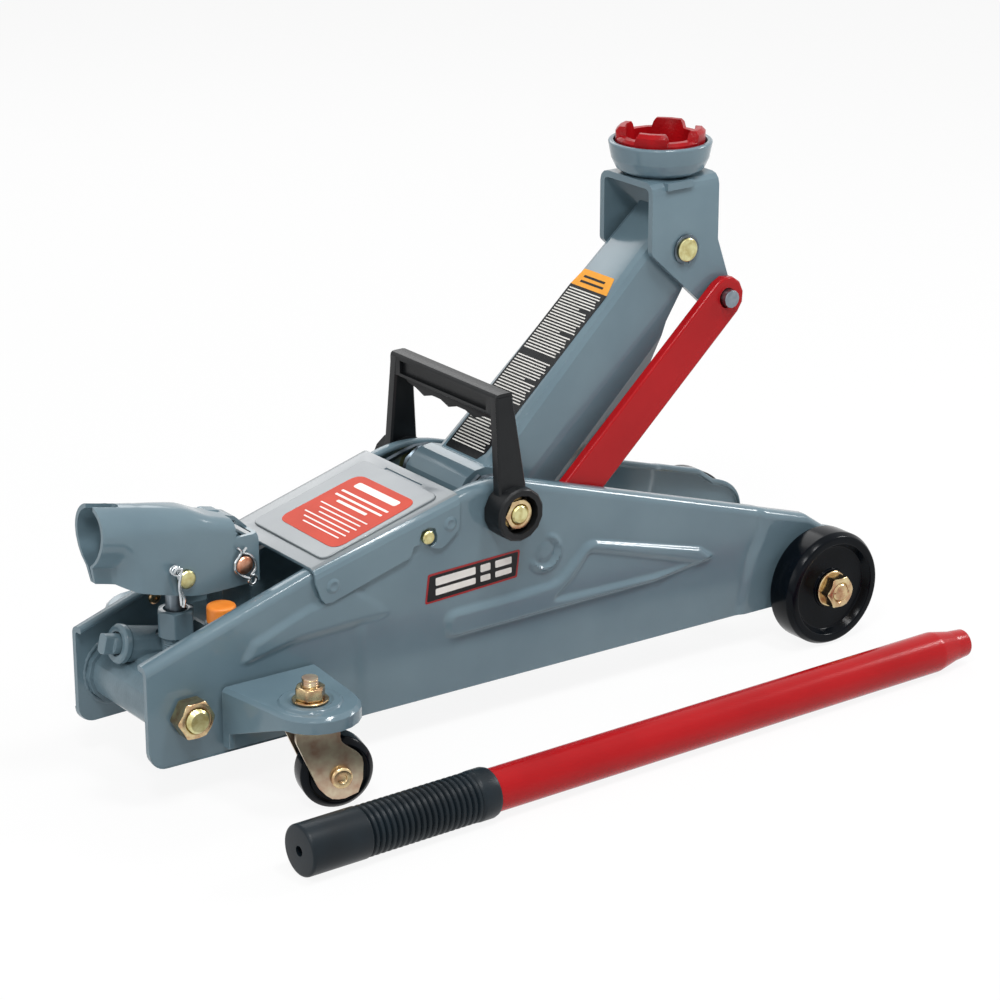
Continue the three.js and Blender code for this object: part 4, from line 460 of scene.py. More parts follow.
def plate_top(x):
    """Height of the rolled top edge."""
    if CROWN_START[0] < x < CROWN_END[0]:
        a = CROWN_START[0] - 2 * CROWN_PEAK[0] + CROWN_END[0]
        b = 2 * (CROWN_PEAK[0] - CROWN_START[0])
        t = (-b + sqrt(b * b - 4 * a * (CROWN_START[0] - x))) / (2 * a)
        return bent(t, CROWN_START[1], CROWN_PEAK[1], CROWN_END[1])
    if x > NOSE[0]:
        t = 1 - sqrt(max(0.0, 1 - (x - NOSE[0]) / (PLATE_LENGTH - NOSE[0])))
        return bent(t, NOSE[1], NOSE_BULGE, NOSE_TIP)
    return float(np.interp(x, *zip(REAR_TOP, KINK, CROWN_START, CROWN_END, SLOPE_END, NOSE)))


def plate_foot(x):
    """Height of the bottom edge, round at both corners."""
    into = max(PLATE_CORNER - x, x - (PLATE_LENGTH - PLATE_CORNER), 0)
    return PLATE_BOTTOM + PLATE_CORNER - sqrt(max(0.0, PLATE_CORNER ** 2 - into ** 2))


def depth_in(x, z, outline):
    """How far points lie inside a closed outline; negative outside."""
    nearest = np.full(x.shape, 1e9)
    inside = np.zeros(x.shape, bool)
    for (ax, az), (bx, bz) in zip(outline, outline[1:] + outline[:1]):
        dx, dz = bx - ax, bz - az
        t = np.clip(((x - ax) * dx + (z - az) * dz) / max(dx * dx + dz * dz, 1e-9), 0, 1)
        nearest = np.minimum(nearest, np.hypot(x - ax - t * dx, z - az - t * dz))
        crosses = (az > z) != (bz > z)
        inside ^= crosses & (x < ax + (z - az) * dx / (dz if abs(dz) > 1e-9 else 1e-9))
    return np.where(inside, nearest, -nearest)


def ramp(value, width):
    """Smooth step from 0 to 1 over width."""
    t = np.clip(value / width, 0, 1)
    return t * t * (3 - 2 * t)


# outlines pressed into the plate, in x and z: the long raised swell, the hollow in it, the raised
# bead at the rear, and the whole fore part, which stands out from the sheet around it
SWELL = rounded([
    (169, 50), (300, 52.6), (341, 57.5), (330, 65.4), (257.5, 85), (236, 66.8), (205, 65.4), (169, 64.6),
], [6, 10, 5, 7, 9, 14, 20, 6], 6, closed=True)
POCKET = rounded([
    (232, 56.4), (298, 55.4), (331, 56.9), (310, 64), (256.5, 80), (245, 66),
], [3, 8, 1.5, 8, 5, 12], 6, closed=True)
REAR_BEAD = rounded([
    (50, 62), (58, 74), (88, 85), (116, 91), (140, 70), (119, 69.5), (84, 68.5),
], [3, 4, 8, 4, 6, 4, 6], 4, closed=True)
FORE_PANEL = rounded([(119, 12), (119, 70), (126, 140), (480, 140), (480, 12)], [0, 9, 0, 0, 0], 6, closed=True)
SWELL_HEIGHT, POCKET_DEPTH = 2.6, 1.7
# at the link's pivot: a low round pad, and a raised ring round it, open at the upper rear
PAD_RADIUS, PAD_HEIGHT = 5.4, 0.7
RING_RADIUS, RING_HALF, RING_HEIGHT = 8.6, 2.1, 2.0
RING_MIDDLE, RING_SPREAD = -0.75, 2.25
BEAD_HEIGHT = 0.7
# the sheet steps out ahead of a line that leans forward as it rises and is a little wavy
STEP_FOOT, STEP_LEAN, STEP_WAVE, STEP_HEIGHT = 356, 11, 1.6, 1.7
# how far the sheet lies back where neither the bead nor the fore panel raises it
LOW_GROUND = 1.3


def pressings(x, z):
    """How far the sheet is pushed out at each point; the width of each ramp is how far its wall slopes."""
    push = SWELL_HEIGHT * ramp(depth_in(x, z, SWELL) + 0.3, 2.7)
    push = push - POCKET_DEPTH * ramp(depth_in(x, z, POCKET) + 1.2, 3.0)
    away = np.hypot(x - LINK_PIVOT[0], z - LINK_PIVOT[1])
    turn = np.arctan2(z - LINK_PIVOT[1], x - LINK_PIVOT[0])
    push = np.maximum(push, PAD_HEIGHT * ramp(PAD_RADIUS - away, 1.4))
    ring = ramp(RING_HALF - np.abs(away - RING_RADIUS), 1.7)
    push = np.maximum(push, RING_HEIGHT * ring * ramp(RING_SPREAD - np.abs(turn - RING_MIDDLE), 0.6))
    in_bead = depth_in(x, z, REAR_BEAD)
    raised = np.maximum(ramp(in_bead + 1.5, 5), ramp(depth_in(x, z, FORE_PANEL) + 4, 8))
    push = np.maximum(push, BEAD_HEIGHT * ramp(in_bead + 0.5, 4))
    step = STEP_FOOT + STEP_LEAN * ramp(z - 36, 26) + STEP_WAVE * np.sin(z / 5)
    return push + STEP_HEIGHT * ramp(x - step, 6) - LOW_GROUND * (1 - raised)


# the plate's mesh: columns close together at both round ends and even between them, and rows that
# split at one height, so that they run straight along the pressings, or where the plate is low, at
# a share of its height
REAR_COLUMNS = [0, 0.4, 1.1, 2.2, 3.6, 5.2, 7, 9]
COLUMN_STEP, NOSE_COLUMNS = 1.5, 15
LOW_ROWS, HIGH_ROWS, ROWS_SPLIT, SPLIT_SHARE = 64, 52, 62.0, 0.64
# small rounding of the sheet's cut edges
CUT_EDGE = 0.5


def plate_columns():
    """How far along the plate each column of its mesh stands."""
    even = np.arange(REAR_COLUMNS[-1] + COLUMN_STEP, NOSE[0] - COLUMN_STEP, COLUMN_STEP)
    nose = PLATE_LENGTH - NOSE[0]
    ahead = [NOSE[0] + nose * sin(pi / 2 * k / (NOSE_COLUMNS - 1)) for k in range(NOSE_COLUMNS)]
    return [*REAR_COLUMNS, *even, *ahead]


def side_plate(name, side):
    """The pressed plate: face, bend, flange and the sheet's inner side, one closed loop at a column."""
    inner = PLATE_BEND - PLATE_SHEET
    loops = []
    for x in plate_columns():
        foot, top = plate_foot(x), plate_top(x)
        reach = FLANGE - (FLANGE - FLANGE_NOSE) * min(1.0, max(0.0, (x - NARROWS) / NARROWING))
        bend = max(top - PLATE_BEND, foot + 1)
        split = min(ROWS_SPLIT, foot + SPLIT_SHARE * (bend - foot))
        heights = np.concatenate([np.linspace(foot + CUT_EDGE, split, LOW_ROWS, endpoint=False),
                                  np.linspace(split, bend, HIGH_ROWS)])
        push = pressings(np.full(len(heights), float(x)), heights)
        out = float(push[-1])
        pivot = (out - PLATE_BEND, top - PLATE_BEND)
        loop = [(-PLATE_SHEET + 0.6, foot), (-0.6, foot)]
        loop += [(float(p), float(h)) for p, h in zip(push, heights)]
        for k in range(1, 7):
            turn = pi / 2 * k / 6
            loop.append((pivot[0] + PLATE_BEND * cos(turn), pivot[1] + PLATE_BEND * sin(turn)))
        loop += [(out - reach + CUT_EDGE, top), (out - reach, top - CUT_EDGE),
                 (out - reach, top - PLATE_SHEET + CUT_EDGE), (out - reach + CUT_EDGE, top - PLATE_SHEET)]
        for k in range(5):
            turn = pi / 2 * (1 - k / 4)
            loop.append((pivot[0] + inner * cos(turn), pivot[1] + inner * sin(turn)))
        loop += [(float(p) - PLATE_SHEET, float(h)) for p, h in zip(push[::-1], heights[::-1])]
        loops.append([beside(side, x, o, z) for o, z in loop])
    return skin(f"{name}_pressed", *lofted(loops), grey_enamel, "chassis", [name], angle=50)


for label, side in SIDES.items():
    side_plate(f"side_plate_{label}", side)

# ---- stickers


def sticker(name, outline, place, lift, material, body, thick=0.12):
    """A thin sheet over an outline in a plane's own u and v; place(u, v, w) gives its points."""
    low = [place(u, v, lift) for u, v in outline]
    high = [place(u, v, lift + thick) for u, v in outline]
    return skin(name, *lofted([low, high]), material, body, angle=60)


def on_plate(u, v, w):
    """u along the right side plate, v up and w out from its face."""
    return beside(RIGHT, u, w, v)


# heights above the surface: a sticker's ground, a field or print on it, and print on that field
GROUND, FIELD, PRINT = 0.05, 0.16, 0.26

# the plain side badge: a black slanted panel with a thin red border and two rows of silver bars,
# whose lower and upper edges rise at their own slopes
BADGE = rounded([(156.7, 71.2), (212.5, 73.9), (214.3, 88.7), (158.6, 86.8)], 1.2, 4, closed=True)
BADGE_FIELD = rounded([(157.8, 72.3), (211.5, 75), (213.1, 87.6), (159.6, 85.7)], 0.8, 4, closed=True)
BAR_SPANS = ((163, 187), (190, 196), (199, 209))
BAR_ROWS = ((74.9, 78.4), (80.0, 84.2))
LOWER_RISE, UPPER_RISE = 0.05, 0.04
sticker("side_badge_border", BADGE, on_plate, GROUND, crimson_vinyl, "chassis")
sticker("side_badge_field", BADGE_FIELD, on_plate, FIELD, black_vinyl, "chassis")
for k, (start, end) in enumerate(BAR_SPANS):
    first, last = start - BAR_SPANS[0][0], end - BAR_SPANS[0][0]
    for row, (low, high) in enumerate(BAR_ROWS):
        bar = rounded([
            (start, low + first * LOWER_RISE), (end, low + last * LOWER_RISE),
            (end, high + last * UPPER_RISE), (start, high + first * UPPER_RISE),
        ], 0.7, 3, closed=True)
        sticker(f"side_badge_bar_{k}_{row}", bar, on_plate, PRINT, pale_vinyl, "chassis")

# ---- shafts, bolts and nuts


def mirrored(half):
    """A profile that is alike at both ends, from its upper half."""
    return [(radius, -height) for radius, height in reversed(half)] + half


def across(node, half, x, z, material, body, sides=40):
    """A turned rod across the mid-plane, which stands for a frame node."""
    return skin(f"{node}_turned", *turned(mirrored(half), sides, axis_y(x, z)), material, body, [node])


REAR_BOLT = (21.1, 45.1)
FRONT_AXLE = (404.25, 31.5)
COVER_ROD = (158, 107.3)
# the front wheel's inner face and tread width, and the hub's face that its washer lies on
WHEEL_INNER, WHEEL_WIDTH, HUB_SUNK = 51.25, 20.2, 3.5
bolt_face = REAR_HALF + REAR_BOLT[0] * tan(TAPER)
wheel_face = WHEEL_INNER + WHEEL_WIDTH - HUB_SUNK
across("rear_cross_bolt", [(6, 20), *thread(bolt_face + 8.5, bolt_face + 11.2, 6, 1.5, 1.1)],
       *REAR_BOLT, green_zinc, "chassis")
across("front_axle", [(5, 40), *thread(wheel_face + 6, 77.05, 5, 1.5, 0.9)],
       *FRONT_AXLE, yellow_zinc, "chassis")
across("lift_arm_shaft", [(8, 49.95), (4.8, 50.05), *thread(51, 56.35, 4.8, 1.25, 0.8)],
       *SHAFT, green_zinc, "chassis")
across("cover_rod", [(3.5, 43.6), (2.9, 44.2), (0, 44.2)], *COVER_ROD, green_zinc, "chassis", 28)

# profiles as (radius, height): the washer under an axle nut, and the flange of a shaft nut
AXLE_WASHER = [(5.3, 0.3), (9.6, 0.3), (10, 0.7), (10, 1.5), (9.6, 1.9), (5.3, 1.9)]
SHAFT_NUT_FLANGE = [(4.9, 50.4), (8.5, 50.4), (8.9, 50.8), (8.9, 52), (8.2, 52.6), (4.9, 52.6)]
for label, side in SIDES.items():
    skin(f"rear_nut_{label}_cut", *nut_rings(18, 8.5, 6.05, place=axis_y(*REAR_BOLT, side, bolt_face + 0.3)),
         yellow_zinc, "chassis", [f"rear_nut_{label}"])
    skin(f"axle_washer_{label}", *turned(AXLE_WASHER, 40, axis_y(*FRONT_AXLE, side, wheel_face)),
         yellow_zinc, "chassis")
    skin(f"axle_nut_{label}_cut", *nut_rings(16, 6.8, 5.05, place=axis_y(*FRONT_AXLE, side, wheel_face + 2)),
         yellow_zinc, "chassis", [f"axle_nut_{label}"])
    skin(f"shaft_nut_{label}_cut", *joined(
        turned(SHAFT_NUT_FLANGE, 48, axis_y(*SHAFT, side)),
        nut_rings(15, 3.0, 4.9, place=axis_y(*SHAFT, side, 52.4))),
        yellow_zinc, "chassis", [f"shaft_nut_{label}"])

# ---- front wheels

# section of the wheel: bore, hub, dished web, rim and tread
TREAD = rounded([
    (5.5, -1.8), (11, -1.8), (11, 0), (27.5, 0), (31.5, 3.6), (31.5, 16.8), (29.6, 20.2), (25.6, 20.2),
    (23.2, 15.7), (11, 15.7), (11, 16.7), (5.5, 16.7),
], [0, 0.5, 0.8, 1.5, 2.5, 2.2, 1.6, 1.2, 1.2, 0.8, 0.4, 0], 4)
for label, side in SIDES.items():
    wheel = f"front_wheel_{label}"
    skin(f"{wheel}_moulded", *turned(TREAD, 72, axis_y(*FRONT_AXLE, side, WHEEL_INNER)),
         wheel_nylon, wheel, [wheel])

# ---- casters

# the swivel's place in x and y, its turn at rest, and the wheel's axle from the swivel
CASTER = (65.2, 77.45)
CASTER_TURN = radians(15)
TRAIL, CASTER_AXLE = 11, 18.5
CASTER_TREAD = rounded([
    (3.5, -8), (7, -8), (8, -7), (14, -7), (15.5, -8), (18.5, -5), (18.5, 5),
    (15.5, 8), (14, 7), (8, 7), (7, 8), (3.5, 8),
], [0, 0.4, 0.4, 0.5, 1.2, 2, 2, 1.2, 0.5, 0.4, 0.4, 0], 3)
RIVET = mirrored(rounded([
    (3, 11.3), (5.4, 11.6), (5.4, 13.2), (4.4, 14), (2.4, 14), (1.9, 13.1), (0, 13.1),
], [0, 0.2, 0.5, 0.3, 0.3, 0.2, 0], 3))
STEM_WASHER = [(4.2, 55.5), (8.6, 55.5), (9, 55.9), (9, 56.5), (8.6, 56.8), (4.2, 56.8)]
for label, side in SIDES.items():
    swivel = axis_z(CASTER[0], side * CASTER[1]) @ Matrix.Rotation(side * CASTER_TURN, 4, "Z")
    hub = swivel @ axis_y(TRAIL, CASTER_AXLE)
    fork, wheel = f"caster_fork_{label}", f"caster_wheel_{label}"
    skin(f"{wheel}_moulded", *turned(CASTER_TREAD, 56, hub), wheel_nylon, wheel, [wheel])
    skin(f"caster_rivet_{label}", *turned(RIVET, 36, hub), yellow_zinc, fork, [f"caster_axle_{label}"])
    skin(f"caster_nut_{label}_cut", *joined(
        turned(STEM_WASHER, 40, swivel),
        nut_rings(13, 6.2, 4.1, True, place=swivel @ axis_z(0, 0, 56.9)),
        turned([(4, 52), *thread(62.6, 67.4, 4, 1.25, 0.7)], 36, swivel, closed=False)),
        yellow_zinc, fork, [f"caster_nut_{label}"])
    dressed(fork, straw_zinc, fork, 0.4)
    dressed(f"caster_bracket_{label}", grey_enamel, "chassis", 0.8, 3, 25, 50)

# ---- lift arm, links and saddle bracket

dressed("lift_arm", grey_enamel, "lift_arm", 1.1, 3, 16, 24)
for label, side in SIDES.items():
    dressed(f"link_{label}", red_enamel, f"link_{label}", 0.7, 3)
    dressed(f"link_pivot_pin_{label}", oiled_steel, "chassis", 0.3)
    dressed(f"link_top_pin_{label}", grey_steel, "saddle_bracket", 0.3)
    dressed(f"snap_ring_{label}", oiled_steel, "saddle_bracket", 0.2)
    dressed(f"return_spring_{label}", oiled_steel, "chassis", 0)
dressed("saddle_bracket", grey_enamel, "saddle_bracket", 0.7, 3, 25, 30)
dressed("saddle_retainer", oiled_steel, "saddle", 0.2)

ARM_LENGTH = 169.9
ARM_RISE = radians(39.65)
ARM_TIP = (SHAFT[0] + ARM_LENGTH * cos(ARM_RISE), SHAFT[1] + ARM_LENGTH * sin(ARM_RISE))
# height of the arm's top above the line through both its pivots, at the shaft and at the tip
ARM_TOP_REAR, ARM_TOP_FRONT = 8.4, 16.2


def on_arm(u, v, w):
    """u along the arm from its shaft, v across it and w out from its top."""
    out = w + ARM_TOP_REAR + u * (ARM_TOP_FRONT - ARM_TOP_REAR) / ARM_LENGTH
    return (SHAFT[0] + u * cos(ARM_RISE) - out * sin(ARM_RISE), v,
            SHAFT[1] + u * sin(ARM_RISE) + out * cos(ARM_RISE))


# the arm's sticker: a black field with one corner cut, and an amber band at its upper end
LABEL = rounded([
    (14, 16), (14, -11.5), (19, -14.5), (122.5, -14.5), (122.5, 16),
], [1, 1, 1, 0, 0], 3, closed=True)
BAND = rounded([(122.5, 16), (122.5, -14.5), (133, -11), (133, 14)], [0, 0, 1, 1], 3, closed=True)
sticker("arm_label_field", LABEL, on_arm, GROUND, black_vinyl, "lift_arm")
sticker("arm_label_band", BAND, on_arm, GROUND, amber_vinyl, "lift_arm")
# ruled rows across the label, level at one edge and ragged at the other, with two gaps between blocks
ROW_START, ROW_STEP, ROW_WIDTH, ROW_EDGE = 18.5, 1.72, 0.68, 14.5
ROW_GAPS = ((44, 49), (76, 80))
for k in range(60):
    u = ROW_START + ROW_STEP * k
    if any(low < u < high for low, high in ROW_GAPS):
        continue
    reach = -13 + 2.2 * ((k * 7) % 5) / 4 + (9 if k % 9 == 8 else 0)
    row = [(u, ROW_EDGE), (u, reach), (u + ROW_WIDTH, reach), (u + ROW_WIDTH, ROW_EDGE)]
    sticker(f"arm_label_row_{k}", row, on_arm, FIELD, pale_vinyl, "lift_arm")
for k, (u, reach) in enumerate(((125, -8.5), (128.2, -7))):
    row = [(u, 10.5), (u, reach), (u + 1.3, reach), (u + 1.3, 10.5)]
    sticker(f"arm_label_band_row_{k}", row, on_arm, FIELD, black_vinyl, "lift_arm")

# half the saddle's pin, with the groove that its snap ring sits in
SADDLE_PIN = [(6.2, 22.3), (5.2, 22.3), (5.2, 23.7), (6.2, 23.7), (6.2, 24.4), (5.8, 24.7), (0, 24.7)]
across("saddle_pin", SADDLE_PIN, *ARM_TIP, green_zinc, "saddle_bracket")

# ---- saddle

# top of the bracket above the saddle's pin, and the gap that lets the cup spin on it
BRACKET_TOP, SPIN_GAP = 37.5, 0.3
SADDLE_FLOOR = ARM_TIP[1] + BRACKET_TOP + SPIN_GAP
CUP = rounded([
    (0, -8), (8, -8), (8, 0), (20, 0), (23.2, 2.2), (25.6, 7.4), (27.2, 15.7), (26.4, 16.5),
    (24.4, 16.5), (24.4, 4), (0, 4),
], [0, 0.4, 0.3, 1.5, 2, 3, 0.8, 0.8, 0.6, 1, 0], 4)
skin("saddle_cup_turned", *turned(CUP, 72, axis_z(ARM_TIP[0], 0, SADDLE_FLOOR)),
     grey_enamel, "saddle", ["saddle_cup"])
dressed("saddle_pad", red_casting, "saddle", 1.0, 3, 30, 40)

# ---- power unit

dressed("pump_block", grey_casting, "chassis", 0.8, 3, 30, 40)
dressed("reservoir_tube", grey_enamel, "chassis", 0.6)
dressed("ram", clear_zinc, "ram", 0.4)
dressed("ram_pin", oiled_steel, "ram", 0.4)
dressed("pump_plunger", grey_steel, "pump_plunger", 0.4)
dressed("release_valve", grey_enamel, "release_valve", 0.6)
lid = dressed("cover_plate", grey_enamel, "chassis", 0.5, 3, 25, 45)
# only the lid's upward face gets the paler enamel, a painted reflection
lid.data.materials.append(reflection_painted_enamel)
for face in lid.data.polygons:
    face.material_index = int(face.normal.z > 0.93)

# the lid lies along the plates' rear slope between these, COVER_STANDS above and outside them
COVER_REAR, COVER_FRONT, COVER_STANDS = 92.5, 177, 1.9
COVER_MIDDLE = (COVER_REAR + COVER_FRONT) / 2
COVER_RISE = atan2(plate_top(COVER_FRONT) - plate_top(COVER_REAR), COVER_FRONT - COVER_REAR)


def on_cover(u, v, w):
    """u forward along the cover's top from its middle, v across and w out from it."""
    return (COVER_MIDDLE + u * cos(COVER_RISE) - w * sin(COVER_RISE), v,
            plate_top(COVER_MIDDLE) + COVER_STANDS + u * sin(COVER_RISE) + w * cos(COVER_RISE))


# round pips pressed out of the lid's two side flaps
PIP = rounded([(4.4, -0.3), (3.6, 0.2), (2.5, 0.8), (1.4, 0.5), (0, 0.2)], [0, 1.4, 1.0, 1.0, 0], 4)
for k, (x, z) in enumerate(((102.5, 93.9), (171, 111.8))):
    for label, side in SIDES.items():
        flap = REAR_HALF + x * tan(TAPER) + COVER_STANDS
        skin(f"cover_dimple_{label}_{k}", *turned(PIP, 32, axis_y(x, z, side, flap), closed=False),
             grey_enamel, "chassis")

PANEL_TOP, PANEL_SUNK = 1.1, 0.2
PANEL = rounded([(-36, -37), (35.5, -37), (36, 30), (-35.5, 29)], 5, 5, closed=True)
# the raised panel on the lid's top also takes the paler enamel, a painted reflection
soften(sticker("cover_panel_raised", PANEL, on_cover, -PANEL_SUNK, reflection_painted_enamel, "chassis",
               thick=PANEL_TOP + PANEL_SUNK), 0.6, 3)
NOTICE = rounded([(-27, -34.5), (25, -33), (25, 19), (-26, 19)], 7, 6, closed=True)
sticker("cover_notice", NOTICE, on_cover, PANEL_TOP + GROUND, orange_vinyl, "chassis")
# the notice's plain bars, as (lower edge, left end, right end, height)
notice_bars = [(15.5, -26, 11, 4.6), (9.5, -28, 13, 1.4), (5.5, -28, 13, 1.4), (1.5, -20, 6, 1.8)]
notice_bars += [(-3.4 - 3.3 * k, -28.5 + 1.5 * (k % 2), 13 - 4 * (k % 3), 0.8) for k in range(6)]
for k, (low, left, right, height) in enumerate(notice_bars):
    bar = rounded([(low, left), (low + height, left), (low + height, right), (low, right)],
                  0.35 * height, 3, closed=True)
    sticker(f"cover_notice_bar_{k}", bar, on_cover, PANEL_TOP + FIELD, pale_vinyl, "chassis")

# the pump's axis in x and y, with its gland nut and the coarse thread that shows under it
PUMP = (38, 0)
GLAND_SEAT, GLAND_TURN = 70.3, -0.05
gland = axis_z(*PUMP, GLAND_SEAT) @ Matrix.Rotation(GLAND_TURN, 4, "Z")
skin("gland_nut_cut", *nut_rings(17, 14, 5.5, True, place=gland), grey_enamel, "chassis", ["gland_nut"])
GLAND_THREAD = [(5.6, 63), *[(r, 63.2 + 0.62 * k) for k, r in enumerate([7.6, 7.0] * 6)], (5.6, 70.6)]
skin("gland_thread_rings", *turned(GLAND_THREAD, 40, axis_z(*PUMP)), grey_enamel, "chassis")


def bead(x, z, radius, y, thick, ripples, phase):
    """A weld bead round a circle on the Y axis: it swells by an eighth at each ripple and wanders 0.3 mm."""
    loops = []
    for k in range(96):
        turn = 2 * pi * k / 96
        out = Vector((cos(turn), 0, sin(turn)))
        swell = 1 + 0.12 * sin(ripples * turn) + 0.06 * sin(ripples * 0.37 * turn + phase)
        middle = Vector((x, y, z)) + out * (radius + 0.3 * sin(3 * turn + phase))
        loops.append([middle + (out * cos(t) + Vector((0, sin(t), 0))) * swell * thick
                      for t in [2 * pi * j / 10 for j in range(10)]])
    return lofted([*loops, loops[0]], capped=False)


# the cross tube round the rear bolt is welded to both plates
TUBE_RADIUS, WELD_THICK = 16.4, 1.5
for label, side in SIDES.items():
    plate_in = REAR_HALF + REAR_BOLT[0] * tan(TAPER) - PLATE_SHEET
    weld = bead(*REAR_BOLT, TUBE_RADIUS + 0.4, side * (plate_in - 0.8), WELD_THICK, 34, side)
    skin(f"tube_weld_{label}", *weld, grey_casting, "chassis")

PLUG_SEAT = (53.8, -16.75, 79.3)
PLUG = rounded([
    (0, -6), (4.4, -6), (5.1, -5), (5.1, 0), (7.3, 0), (7.3, 8.4), (0, 8.4),
], [0, 0.3, 0.3, 0.3, 0.3, 1.6, 0], 4)
skin("oil_filler_plug_moulded", *turned(PLUG, 48, axis_z(*PLUG_SEAT)),
     orange_polyethylene, "chassis", ["oil_filler_plug"])

# the rounded rim at the mouth of the release valve's boss, which points rearward and a little up
VALVE_MOUTH, VALVE_RISE = (12, 12.25, 67.6), radians(13.5)
valve_axis = axis_z(*VALVE_MOUTH) @ Matrix.Rotation(pi / 2 + VALVE_RISE, 4, "Y")
RIM = rounded([
    (6, -1.1), (8.8, -1.1), (9.9, 0), (10, 2.4), (9.1, 4), (6, 2),
], [0.6, 0.8, 0.8, 1.2, 0.6, 0], 3, closed=True)
skin("valve_boss_rim", *turned(RIM, 48, valve_axis), grey_enamel, "chassis")

# a small screw in the left plate's inner face, whose shank starts SCREW_SUNK inside the sheet
SCREW = [
    (1.4, 0), (1.4, 1.6), (3.1, 1.6), (3.3, 2.0), (3.3, 3.4), (2.6, 4.0), (1.0, 4.0), (0.9, 3.3), (0, 3.3)]
SCREW_X, SCREW_Z, SCREW_SUNK = 45.5, 77.1, 1.2
screw_seat = REAR_HALF + SCREW_X * sin(TAPER) - PLATE_SHEET + SCREW_SUNK
screw_axis = axis_z(SCREW_X, screw_seat, SCREW_Z) @ Matrix.Rotation(pi / 2, 4, "X")
skin("brass_screw", *turned(SCREW, 32, screw_axis, closed=False), yellow_zinc, "chassis")

# ---- handle socket

PUMP_PIN = (36.4, 104)
YOKE_PIN = (68.7, 104.1)
PIN_HOLE = 4.7

SOCKET_SHEET, SOCKET_HALF, SOCKET_REAR, SOCKET_FRONT = 2.2, 13.6, -7.5, 78
# x, top, low edges, fold, half gap between the low edges, corner radius at each station along the sheet
SOCKET_STATIONS = [
    [SOCKET_REAR, 147.3, 107.6, 116.2, 2.3, 13.6], [4, 144.9, 105, 113.5, 2.3, 13.6],
    [8, 144.1, 103, 111.8, 7.5, 13.6], [12, 143.4, 101.6, 110, 12.4, 13.6], [19, 141.9, 99.8, 108, 13.6, 13.2],
    [31, 139.4, 96.5, 106, 13.6, 12], [43, 136.2, 93.6, 104, 13.6, 9], [54, 130.6, 93.2, 103, 13.6, 7],
    [71, 125.6, 93.6, 102, 13.6, 5], [SOCKET_FRONT, 118.6, 94, 101, 13.6, 4],
]
# the side above the fold: share of the full width, and share of the way up to the shoulder
SOCKET_SIDE = ((0.45, 0.2), (0.72, 0.42), (0.93, 0.7))
# the rear rim leans forward above one height and more so below another, over this length
RIM_LENGTH, RIM_TOP, RIM_TOP_LEAN, RIM_LOW, RIM_LOW_LEAN = 12, 132, 0.05, 115, 0.3


def socket_loop(station):
    """Section of the socket: a sheet wrapped round the bar, its low edges pinched together at the rear."""
    x, top, low, fold, gap, corner = station
    shoulder = top - corner

    def line(half, radius, least):
        def inset(share):
            return max(gap + (SOCKET_HALF - gap) * share - SOCKET_HALF + half, least)
        rise = shoulder - fold
        points = [(inset(0), low), (inset(0.06), fold)]
        points += [(inset(share), fold + rise * up) for share, up in SOCKET_SIDE]
        points.append((half, fold + rise * 0.95))
        for k in range(9):
            turn = 0.12 + (pi / 2 - 0.12) * k / 8
            points.append((SOCKET_HALF - corner + radius * cos(turn), shoulder + radius * sin(turn)))
        return points

    outer = line(SOCKET_HALF, corner, 0.0)
    under = line(SOCKET_HALF - SOCKET_SHEET, corner - SOCKET_SHEET, 0.1)
    section = [*outer, (0, top), *[(-y, z) for y, z in outer[::-1]],
               *[(-y, z) for y, z in under], (0, top - SOCKET_SHEET), *under[::-1]]
    lean = max(0.0, 1 - (x - SOCKET_REAR) / RIM_LENGTH)
    return [(x + lean * ((z - RIM_TOP) * RIM_TOP_LEAN + max(0, RIM_LOW - z) * RIM_LOW_LEAN), y, z)
            for y, z in section]


def cut_away(obj, verts, faces):
    """Cuts a closed shape in millimetres out of a piece."""
    tool = show("cutter", mesh_of("cutter", verts, faces))
    bite = obj.modifiers.new("cut", "BOOLEAN")
    bite.object = tool
    bite.solver = "EXACT"
    shown = bpy.context.evaluated_depsgraph_get()
    result = bpy.data.meshes.new_from_object(obj.evaluated_get(shown))
    obj.modifiers.clear()
    obj.data = result
    bpy.data.objects.remove(tool)
    smooth(result, 40)


def block(low, high):
    """A box between two corners, as a cutting shape."""
    (x0, y0, z0), (x1, y1, z1) = low, high
    return lofted([[(x, y0, z0), (x, y1, z0), (x, y1, z1), (x, y0, z1)] for x in (x0, x1)])


def prism_y(outline, low, high):
    """An outline in x and z drawn along y."""
    return lofted([[(x, y, z) for x, z in outline] for y in (low, high)])


# four sections between neighbouring stations, then evened out twice so that the sheet flows
knots = np.array(SOCKET_STATIONS)
spans = [np.linspace(a, b, 4, endpoint=False) for a, b in zip(knots, knots[1:])]
stations = np.concatenate([*spans, knots[-1:]])
for _ in range(2):
    even = (stations[:-2] + 2 * stations[1:-1] + stations[2:]) / 4
    stations[1:-1, 1:] = even[:, 1:]
socket = skin("handle_socket_formed", *lofted([socket_loop(map(float, s)) for s in stations]),
              grey_enamel, "handle_socket", ["handle_socket"], angle=40)
# the notch in the rear rim's top, the window in the right cheek's front, and the pin holes
NOTCH_HALF, NOTCH_END = 3.4, SOCKET_REAR + 15.5
NOTCH = rounded([(-40, -NOTCH_HALF), (NOTCH_END, -NOTCH_HALF), (NOTCH_END, NOTCH_HALF), (-40, NOTCH_HALF)],
                [0, 3, 3, 0], 5, closed=True)
cut_away(socket, *lofted([[(x, y, z) for x, y in NOTCH] for z in (132, 170)]))
cut_away(socket, *block((65.2, -SOCKET_HALF - 1, 118.5), (SOCKET_FRONT + 5, -3, 140)))
drill = [(0, -60), (PIN_HOLE, -60), (PIN_HOLE, 60), (0, 60)]
for pin in (PUMP_PIN, YOKE_PIN):
    cut_away(socket, *turned(drill, 40, axis_y(*pin)))
soften(socket, 0.5, 2, 40)
